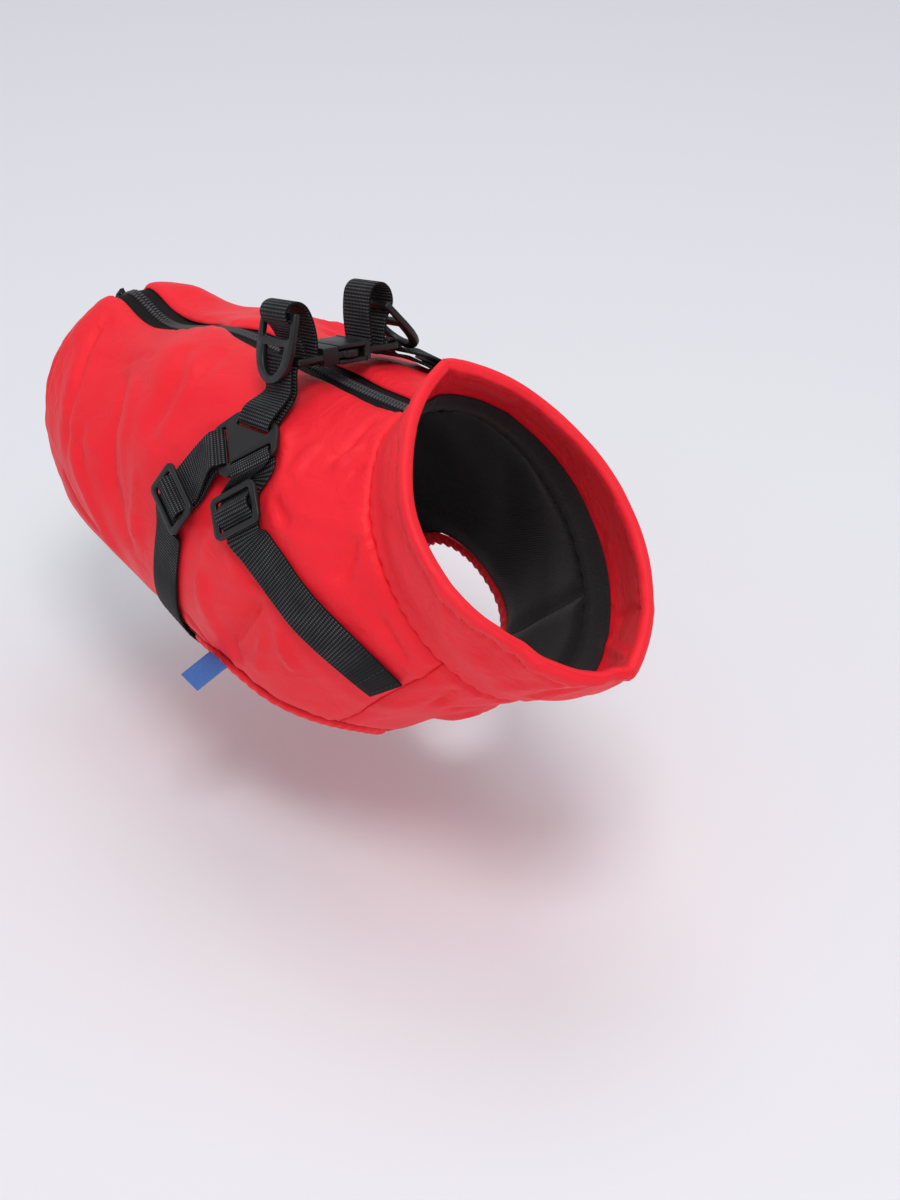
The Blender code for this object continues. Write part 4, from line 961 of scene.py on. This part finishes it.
# ---------------------------------------------------------------- webbing
# Ribbed polyester webbing 20 mm wide.  The chest straps are sewn into the front seams, the girth
# strap runs under the belly, and each strap passes through a three-bar slider and round a plate.
WEBBING, STRAP_WIDTH, STRAP_LIFT = 1.3, 20.0, 1.35  # thickness, width, height over the cloth
SEAM_LIFT = 0.3  # how much higher the girth strap runs over the belly
CHEST_SLIDER, GIRTH_SLIDER, SLIDER_LIFT = 20, 27, 5.9  # mm along the straps' lines, and up
# The three-slot plate: its place, height and thickness; its arms' directions and reach; the
# width of its bars and slots.
PLATE_AT, PLATE_LIFT, PLATE_THICK = (0.702, 34.5), 4.0, 2.4
PLATE_ARMS, PLATE_BAR, PLATE_SLOT = ((90, 9.0), (225, 16.8), (315, 16.8)), 2.6, 3.8
# The buckle: its middle and its lean in degrees, and the bars that its straps go round.
BUCKLE_AT, BUCKLE_LEAN = (-6.5, -1.5, 3.2), (-8.3, -15.4, -1.0)
BAR_WIDE, LADDER_THICK, BAR_OUTER = 2.6, 2.6, 24.7
# Ways of the ring loops and of the short straps out from the buckle's middle, and up, by side.
LOOP = {1: ((17.3, -2.4), (19.2, -1.7), (19.8, 0.5), (20.5, 5.0), (22.0, 9.8), (24.2, 13.8),
            (26.4, 16.2), (28.2, 18.2), (28.5, 21.0), (26.9, 23.6), (23.9, 24.7), (20.4, 24.0),
            (17.4, 21.2), (15.3, 16.0), (14.2, 10.0), (14.1, 4.5), (14.4, 0.5), (15.3, -1.7)),
        -1: ((17.3, -2.4), (19.2, -1.7), (19.8, 0.5), (20.6, 4.5), (21.6, 8.5), (22.6, 12.0),
             (24.4, 15.2), (25.9, 18.0), (26.0, 21.4), (24.7, 24.8), (21.8, 27.1), (18.2, 27.0),
             (15.4, 24.3), (14.1, 19.0), (13.6, 12.5), (13.8, 6.5), (14.3, 1.0), (15.3, -1.7))}
YOKE_OVER = {1: ((26.4, 2.0), (27.3, 0.4), (27.8, -3.0), (28.4, -8.0), (29.8, -13.5)),
             -1: ((26.4, 2.0), (27.6, 0.4), (29.8, -2.2), (33.8, -4.5))}
YOKE_UNDER = {1: ((27.2, -15.0), (25.9, -9.0), (25.5, -5.0)),
              -1: ((33.6, -6.7), (29.6, -5.9), (26.6, -4.3))}

polyester, tree, shader = start_material("woven_polyester_webbing_black", "232323", 0.7)
# The webbing's weft makes ribs across it, 1.5 mm apart, with a small bead at every warp end;
# each bead carries a painted glint, a pale grey highlight in its colour, brighter in some
# patches than others.  Where it is sewn down or pulled tight the ribs and glints are plain.
place = add_node(tree, "ShaderNodeTexCoord").outputs["UV"]
ribs = add_node(tree, "ShaderNodeTexWave", {"Vector": place, "Scale": WAVE / 0.0015},
                bands_direction="X")
ends = add_node(tree, "ShaderNodeTexWave", {"Vector": place, "Scale": WAVE / 0.0011},
                bands_direction="Y")
beads = add_node(tree, "ShaderNodeMath", {0: ribs.outputs["Fac"], 1: ends.outputs["Fac"]},
                 operation="MULTIPLY")
sharp = add_node(tree, "ShaderNodeMath", {0: beads.outputs[0], 1: 1.6}, operation="POWER")
glint_patches = add_node(tree, "ShaderNodeTexNoise", {"Vector": place, "Scale": 90.0, "Detail": 2.0})
# The painted glint: the sharpened beads, brighter in some patches, to be mixed in as pale grey.
painted_glint = add_node(tree, "ShaderNodeMath", {0: sharp.outputs[0], 1: glint_patches.outputs["Fac"]},
                  operation="MULTIPLY")
ribbing = add_node(tree, "ShaderNodeAttribute", attribute_name="ribbing").outputs["Fac"]
shown = add_node(tree, "ShaderNodeMath", {0: painted_glint.outputs[0], 1: ribbing},
                 operation="MULTIPLY")
# Black yarn, with the painted glint laid over it as a pale grey highlight.
yarn = add_node(tree, "ShaderNodeMix", {"Factor": shown.outputs[0], "A": linear("0A0A0B"),
                                        "B": linear("9A9AA0")}, data_type="RGBA")
tree.links.new(yarn.outputs["Result"], shader.inputs["Base Color"])
raised = add_node(tree, "ShaderNodeMath", {0: ribs.outputs["Fac"], 1: sharp.outputs[0]},
                  operation="ADD")
pressed = add_node(tree, "ShaderNodeMath", {0: raised.outputs[0], 1: ribbing},
                   operation="MULTIPLY")
ribbed = add_node(tree, "ShaderNodeBump", {"Height": pressed.outputs[0], "Strength": 1.0,
                                           "Distance": 0.00030})
tree.links.new(ribbed.outputs["Normal"], shader.inputs["Normal"])
shader.inputs["Specular IOR Level"].default_value = 0.22


def frame_from(origin, x_axis, z_axis):
    """A placing matrix from an origin and two directions."""
    z = Vector(z_axis).normalized()
    y = z.cross(Vector(x_axis)).normalized()
    turn = Matrix((y.cross(z), y, z)).transposed().to_4x4()
    return Matrix.Translation(Vector(origin)) @ turn


class StrapLine:
    """A line on the cloth, measured in mm from its start; a shift fades out towards its end."""

    def __init__(self, rows, side, shift):
        count = (len(rows) - 1) * 8
        places = smooth_rows(rows, np.arange(count + 1) / 8)
        fade = np.minimum(1.0, 2 - 2 * np.arange(count + 1) / count)
        self.station = places[:, 0] + shift * fade
        self.angle = side * places[:, 1]
        steps = np.linalg.norm(np.diff(cloth(self.station, self.angle), axis=0), axis=1)
        self.at = np.concatenate([[0.0], np.cumsum(steps)])
        self.length = self.at[-1]

    def place(self, d):
        """The stations and angles at some distances."""
        return np.interp(d, self.at, self.station), np.interp(d, self.at, self.angle)

    def frame(self, d, lift=0.0):
        """At a distance: x along the line, z out of the cloth, y across the strap."""
        s, a = self.place(np.array([d, d - 2, d + 2]))
        points = cloth(s, a)
        normal = form_normal(s[:1], a[:1])[0]
        return frame_from(points[0] + normal * lift, points[2] - points[1], normal)


def stop(matrix, x, z):
    """A place on a strap and the direction across it."""
    return matrix @ Vector((x, 0, z)), matrix.to_3x3() @ Vector((0, 1, 0))


def arm_frame(side, shift, direction):
    """A frame in the middle of the plate, with x along one of its arms."""
    s, a = PLATE_AT[0] + shift, side * PLATE_AT[1]
    points = cloth([s, s + 0.01, s - 0.01], [a, a, a])
    normal = form_normal(np.array([s]), np.array([a]))[0]
    middle = frame_from(points[0] + normal * PLATE_LIFT, points[1] - points[2], normal)
    return middle @ Matrix.Rotation(math.radians(side * direction), 4, "Z")


def around_plate(side, shift, arm):
    """Stops of a strap over a bar of the plate and back under it."""
    direction, reach = PLATE_ARMS[arm]
    matrix = arm_frame(side, shift, direction)
    bar, hole = reach - PLATE_BAR / 2, reach - PLATE_BAR - PLATE_SLOT / 2
    high = PLATE_THICK / 2 + GAP + 0.05 + WEBBING / 2
    ways = ((bar + 4.5, high - 0.1), (bar, high), (hole + 0.75, 1.55), (hole + 0.05, 0),
            (hole + 0.75, -1.55), (bar, -high), (bar + 4.5, -high))
    return [stop(matrix, x, z) for x, z in ways]


def around_slider(matrix):
    """Stops of a strap up through one slot of a slider, over its bar and down the other."""
    half = ((11.6, -2.7), (9.0, -2.5), (6.7, -2.15), (4.15, 0.0), (1.7, 2.1), (0.0, 2.35))
    ways = [(-x, z) for x, z in half] + list(reversed(half))[1:]
    return [stop(matrix, x, z) for x, z in ways]


def half_strap(line, slider_at, side, shift, arm):
    """Stops from the sewn end, round the plate's bar and through the slider, onto the cloth."""
    slider = line.frame(slider_at, SLIDER_LIFT)
    stops = [stop(line.frame(slider_at + 3), 0, STRAP_LIFT),
             stop(line.frame(slider_at - 5), 0, STRAP_LIFT),
             stop(line.frame(slider_at - 12), 0, STRAP_LIFT + 0.1)]
    stops += list(reversed(around_plate(side, shift, arm)))
    stops += around_slider(slider)
    stops += [stop(line.frame(slider_at + 16), 0, 2.3), stop(line.frame(slider_at + 22), 0, 1.5)]
    return stops


def joined(first, second):
    """Two runs of stops as one, with the second one's face on the same side as the first's."""
    if first[-1][1].dot(second[0][1]) < 0:
        second = [(p, -w) for p, w in second]
    return first + second


def end_frame(side):
    """A frame in the middle of the buckle: x out to one end, z up; side 1 is the right."""
    x, y, z = (math.radians(v) for v in BUCKLE_LEAN)
    lean = Matrix.Rotation(y, 4, "Y") @ Matrix.Rotation(x, 4, "X") @ Matrix.Rotation(z, 4, "Z")
    return Matrix.Translation(Vector(BUCKLE_AT)) @ lean @ Matrix.Rotation(
        -math.pi / 2 * side, 4, "Z")


FINE = 7  # rows of points from one stop of a strap to the next
NEVER = 1e6
RIB_FADE, LEAST_RIBS = 14, 0.12  # mm over which the ribs fade, and what is left of them


def weave_strap(name, stops, closed=False, plain=(NEVER, 2 * NEVER)):
    """A band with rounded edges through its stops; its ribs fade out between two lengths."""
    rows = [(*p, *w) for p, w in stops]
    if closed:
        rows = rows[-2:] + rows + rows[:2]
        ats = 2 + np.arange((len(rows) - 4) * FINE) / FINE
    else:
        ats = np.arange((len(rows) - 1) * FINE + 1) / FINE
    values = smooth_rows(rows, ats)
    points, wides = values[:, :3], values[:, 3:]
    wides = wides / np.linalg.norm(wides, axis=1, keepdims=True)
    if closed:
        along = np.roll(points, -1, axis=0) - np.roll(points, 1, axis=0)
    else:
        along = np.gradient(points, axis=0)
    ups = np.cross(along, wides)
    ups /= np.linalg.norm(ups, axis=1, keepdims=True)
    steps = np.linalg.norm(np.diff(points, axis=0), axis=1)
    run = np.concatenate([[0.0], np.cumsum(steps)])
    half, thin = STRAP_WIDTH / 2, WEBBING / 2 - 0.06
    section = [(-half, 0.0), (-half + 0.12, thin * 0.62), (-half + 0.5, thin), (-half * 0.5, thin),
               (0, thin), (half * 0.5, thin), (half - 0.5, thin), (half - 0.12, thin * 0.62),
               (half, 0.0)]
    section += [(x, -z) for x, z in reversed(section[1:-1])]
    n, count = len(section), len(points)
    verts, uvs = [], []
    for x, z in section:
        verts.append(points + wides * x + ups * z)
        uvs.append(np.stack([run, np.full(count, x)], 1))
    faces = []
    for j in range(n):
        a, b = j * count, ((j + 1) % n) * count
        for i in range(count if closed else count - 1):
            k = (i + 1) % count
            faces.append([a + i, b + i, b + k, a + k])
    if not closed:
        faces.append([j * count for j in range(n)])
        faces.append([j * count + count - 1 for j in reversed(range(n))])
    made = mesh_piece(name, np.vstack(verts), faces, polyester, np.vstack(uvs), 50)
    layer = made.data.attributes.new("ribbing", "FLOAT", "POINT")
    kept = np.clip(1 - np.minimum(run - plain[0], plain[1] - run) / RIB_FADE, LEAST_RIBS, 1)
    layer.data.foreach_set("value", np.tile(kept, n).astype(np.float32))
    return made


girth_stops = {}
for word, side, shift in (("right", 1, 0.0), ("left", -1, HARNESS_SHIFT)):
    line = StrapLine(CHEST_LINE, side, shift)
    stops = half_strap(line, CHEST_SLIDER, side, shift, 2)
    stops += [stop(line.frame(d), 0, STRAP_LIFT)
              for d in np.arange(CHEST_SLIDER + 31, line.length - 6, 10)]
    stops.append(stop(line.frame(line.length - 0.5), 0, STRAP_LIFT))
    hand_over(weave_strap(f"chest_webbing_{word}", stops, plain=(142, NEVER)),
              f"chest_strap_{word}")
    line = StrapLine(GIRTH_LINE, side, shift)
    stops = half_strap(line, GIRTH_SLIDER, side, shift, 1)
    stops += [stop(line.frame(d), 0, STRAP_LIFT + (SEAM_LIFT if d > line.length - 40 else 0.0))
              for d in np.arange(GIRTH_SLIDER + 31, line.length - 5, 10)]
    if side > 0:
        stops.append(stop(line.frame(line.length), 0, STRAP_LIFT + SEAM_LIFT))
    girth_stops[word] = stops
hand_over(weave_strap("girth_webbing", joined(girth_stops["right"], girth_stops["left"][::-1]),
                      plain=(112, 386)), "girth_strap")

for word, side, shift in (("right", 1, 0.0), ("left", -1, HARNESS_SHIFT)):
    matrix = end_frame(side)
    high = LADDER_THICK / 2 + GAP + 0.05 + WEBBING / 2
    hole = BAR_OUTER - BAR_WIDE / 2 - 1.15
    ways = (*YOKE_UNDER[side], (BAR_OUTER, -high), (hole + 0.3, -1.75), (hole, 0),
            (hole + 0.3, 1.75), (BAR_OUTER, high), *YOKE_OVER[side])
    over = [stop(matrix, x, z) for x, z in ways]
    yoke = weave_strap(f"yoke_webbing_{word}", joined(over, around_plate(side, shift, 0)), True)
    hand_over(yoke, f"yoke_strap_{word}")
    loop = [stop(matrix, x, z) for x, z in LOOP[side]]
    hand_over(weave_strap(f"loop_webbing_{word}", loop, True), f"ring_loop_{word}")

# ---------------------------------------------------------------- moulded hardware
# The buckle, the plates, the sliders and the leash rings are injection-moulded acetal, with
# rounded edges and a fine satin texture from the mould.
acetal, tree, shader = start_material("moulded_acetal_black", "141314", 0.38)
# Acetal has a slippery half gloss; the mould's texture has a grain of 0.5 mm, and spots of 6 mm
# are rubbed a little smoother.
place = add_node(tree, "ShaderNodeTexCoord").outputs["Object"]
grain = add_node(tree, "ShaderNodeTexNoise", {"Vector": place, "Scale": 2200.0, "Detail": 2.0})
rub = add_node(tree, "ShaderNodeTexNoise", {"Vector": place, "Scale": 160.0, "Detail": 3.0})
gloss = add_node(tree, "ShaderNodeMapRange", {"Value": rub.outputs["Fac"], "To Min": 0.34,
                                              "To Max": 0.5})
tree.links.new(gloss.outputs["Result"], shader.inputs["Roughness"])
matt = add_node(tree, "ShaderNodeBump", {"Height": grain.outputs["Fac"], "Strength": 0.25,
                                         "Distance": 0.00008})
tree.links.new(matt.outputs["Normal"], shader.inputs["Normal"])
shader.inputs["Specular IOR Level"].default_value = 0.45

zinc, tree, shader = start_material("lacquered_zinc_black", "2A2A2C", 0.30)
# Die-cast zinc under black lacquer: a soft metallic gloss, a little duller where it is handled.
shader.inputs["Metallic"].default_value = 0.85
place = add_node(tree, "ShaderNodeTexCoord").outputs["Object"]
rub = add_node(tree, "ShaderNodeTexNoise", {"Vector": place, "Scale": 500.0, "Detail": 2.0})
gloss = add_node(tree, "ShaderNodeMapRange", {"Value": rub.outputs["Fac"], "To Min": 0.24,
                                              "To Max": 0.42})
tree.links.new(gloss.outputs["Result"], shader.inputs["Roughness"])


def mould(node, name, edge, finish, body="root"):
    """The real piece from its plain solid, with its edges rounded by some mm as moulds do."""
    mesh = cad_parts[node].data.copy()
    mesh.name = name
    work = bmesh.new()
    work.from_mesh(mesh)
    bmesh.ops.remove_doubles(work, verts=work.verts, dist=1e-6)
    bmesh.ops.dissolve_limit(work, angle_limit=math.radians(1.0), verts=work.verts,
                             edges=work.edges)
    work.to_mesh(mesh)
    work.free()
    mesh.materials.clear()
    mesh.materials.append(finish)
    piece = bpy.data.objects.new(name, mesh)
    scene.collection.objects.link(piece)
    rounding = piece.modifiers.new("rounded_edges", "BEVEL")
    rounding.width = edge * MM
    rounding.segments = 3
    rounding.limit_method = "ANGLE"
    rounding.angle_limit = math.radians(35)
    rounding.use_clamp_overlap = False
    rounding.harden_normals = False
    graph = bpy.context.evaluated_depsgraph_get()
    done = bpy.data.meshes.new_from_object(piece.evaluated_get(graph))
    piece.modifiers.remove(rounding)
    piece.data = done
    done.shade_smooth()
    done.set_sharp_from_angle(angle=math.radians(50))
    hand_over(piece, node, body)


for word in ("right", "left"):
    mould(f"yoke_plate_{word}", f"moulded_plate_{word}", 0.55, acetal)
    for strap in ("chest", "girth"):
        mould(f"{strap}_slider_{word}", f"moulded_{strap}_slider_{word}", 0.6, acetal)
    mould(f"leash_ring_{word}", f"moulded_leash_ring_{word}", 0.8, acetal,
          f"leash_ring_{word}")
for half in ("prongs", "housing"):
    mould(f"buckle_{half}", f"moulded_buckle_{half}", 0.45, acetal)
mould("zip_slider", "cast_zip_slider", 0.3, zinc)
mould("zip_pull", "cast_zip_pull", 0.3, zinc, "zip_pull")

# ---------------------------------------------------------------- label
# A folded satin label, sewn into the edge of the right armhole and left bare.
satin, tree, shader = start_material("satin_ribbon_blue", "3769B4", 0.4)
# Satin ribbon has fine floats and a soft gloss; they are drawn 1.4 mm wide so that they show.
place = add_node(tree, "ShaderNodeTexCoord").outputs["Object"]
floats = add_node(tree, "ShaderNodeTexNoise", {"Vector": place, "Scale": 700.0, "Detail": 2.0})
tint = add_node(tree, "ShaderNodeMix", {"Factor": floats.outputs["Fac"], "A": linear("2F5FA8"),
                                        "B": linear("4377C4")}, data_type="RGBA")
tree.links.new(tint.outputs["Result"], shader.inputs["Base Color"])
woven = add_node(tree, "ShaderNodeBump", {"Height": floats.outputs["Fac"], "Strength": 0.2,
                                          "Distance": 0.0001})
tree.links.new(woven.outputs["Normal"], shader.inputs["Normal"])
shader.inputs["Sheen Weight"].default_value = 0.2
mould("side_label", "folded_satin_label", 0.3, satin)

# ---------------------------------------------------------------- stitches
# Lockstitches of polyester thread: red ones every 3 mm along the hems, the armholes and the
# collar's rim, and black ones every 2.6 mm across the webbing.  The other seams are sewn from
# inside and show no thread.
red_thread, _, _ = start_material("polyester_thread_red", "B5202B", 0.55)
black_thread, _, _ = start_material("polyester_thread_black", "1C1C1E", 0.5)
red_stitch = small_piece("red_stitch", (2.4, 0.5, 0.42))
black_stitch = small_piece("black_stitch", (2.1, 0.5, 0.42))
RED_PITCH, BLACK_PITCH = 3.0, 2.6  # mm from stitch to stitch
SUNK = 0.02  # how deep a stitch lies in the cloth


def on_cloth(places, high):
    """A line of stitches on the cloth: its places and the directions up from them."""
    s, a = np.asarray(places, float).T
    return cloth(s, a, high), form_normal(s, a)


def close_rows(places, step=1.5):
    """More places between the given ones, so that a line of stitches follows every fold."""
    points = flat(places)
    run = np.concatenate([[0], np.cumsum(np.linalg.norm(np.diff(points, axis=0), axis=1))])
    at = np.linspace(0, run[-1], max(2, int(run[-1] / step)))
    return np.stack([np.interp(at, run, points[:, 0]) / ALONG,
                     np.degrees(np.interp(at, run, points[:, 1]) / AROUND)], 1)


def inset(places, amount):
    """A line moved sideways on the flat pattern by an amount in mm."""
    points = flat(places)
    way = np.gradient(points, axis=0)
    way /= np.linalg.norm(way, axis=1, keepdims=True)
    points = points + np.stack([-way[:, 1], way[:, 0]], 1) * amount
    return np.stack([points[:, 0] / ALONG, np.degrees(points[:, 1] / AROUND)], 1)


def sew_red(name, lines):
    """The finished rows of red stitches along some lines."""
    row = repeat_piece(name, lines, red_stitch, RED_PITCH, red_thread, 0.12)
    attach(row, "root")


# A row beside each armhole's binding.
armhole_row = armhole(np.linspace(0, 360, 361), 1.9)
sew_red("armhole_stitches", [on_cloth(armhole_row * np.array([1, side]), -0.15)
                             for side in (1, -1)])

# A single row along the tail hem; the seams and the edges over the zip are plain.
tail_hem_row = inset(close_rows(REAR_HEM[:-1]), -3.2)
lines = []
for side, edge, creases, straps, seed in (
        (1, side_edge, RIGHT_CREASES, strap_lines(1, 0.0), 3.0),
        (-1, left_edge, LEFT_CREASES, strap_lines(-1, HARNESS_SHIFT), 11.0)):
    places = close_rows(tail_hem_row) * np.array([1, side])
    high, _ = relief(places, edge, creases, straps, seed, side)
    lines.append(on_cloth(places, high - SUNK))
sew_red("tail_hem_stitches", lines)

# The chest panel's row along the belly hem.
right_half = [(s + 0.012, a) for s, a in BELLY_HEM]
places = close_rows(right_half + [(s, 360 - a) for s, a in reversed(right_half[:-1])])
high, _ = relief(places, chest_edge, CHEST_CREASES, [*strap_lines(1, 0.0), *left_under], 7.0)
sew_red("belly_hem_stitches", [on_cloth(places, high - SUNK)])

# The row that holds the collar's rolled rim, on both of its faces.
angles = np.linspace(0, 360, 401)
row = np.stack([RIM - RIM_BAND / rim_share(np.radians(angles)) / ALONG, angles], 1)
high = collar_relief(flat(row)) + rim_puff(flat(row))
inner_high = -CLOTH - 0.2 + 0.8 * collar_relief(flat(row)) - rim_puff(flat(row))
sew_red("collar_stitches", [on_cloth(row, high - 0.05), on_cloth(row, inner_high + 0.05)])


def on_strap(matrix, corners):
    """A line of stitches over a strap, from corner to corner of a pattern in mm."""
    corners = np.array(corners, float)
    run = np.concatenate([[0], np.cumsum(np.linalg.norm(np.diff(corners, axis=0), axis=1))])
    at = np.linspace(0, run[-1], max(3, int(run[-1] / 1.0)))
    turn = np.array(matrix.to_3x3())
    local = np.stack([np.interp(at, run, corners[:, 0]), np.interp(at, run, corners[:, 1]),
                      np.full(len(at), WEBBING / 2 - 0.04)], 1)
    return local @ turn.T + np.array(matrix.translation), np.tile(turn[:, 2], (len(at), 1))


# Black rows across the straps where they are sewn down, so many mm before their ends.
ACROSS = ((0, -8.6), (0, 8.6))
lines = []
for side, shift in ((1, 0.0), (-1, HARNESS_SHIFT)):
    chest = StrapLine(CHEST_LINE, side, shift)
    for back in (2.4, 10.0):
        lines.append(on_strap(chest.frame(chest.length - back, STRAP_LIFT), ACROSS))
    girth = StrapLine(GIRTH_LINE, side, shift)
    for back in (38, 46, 70, 78):
        lift = STRAP_LIFT + (SEAM_LIFT if back < 40 else 0.0)
        lines.append(on_strap(girth.frame(girth.length - back, lift), ACROSS))
strap_rows = repeat_piece("strap_stitches", lines, black_stitch, BLACK_PITCH, black_thread, 0.1)
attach(strap_rows, "root")
for piece in (red_stitch, black_stitch):
    bpy.data.objects.remove(piece, do_unlink=True)
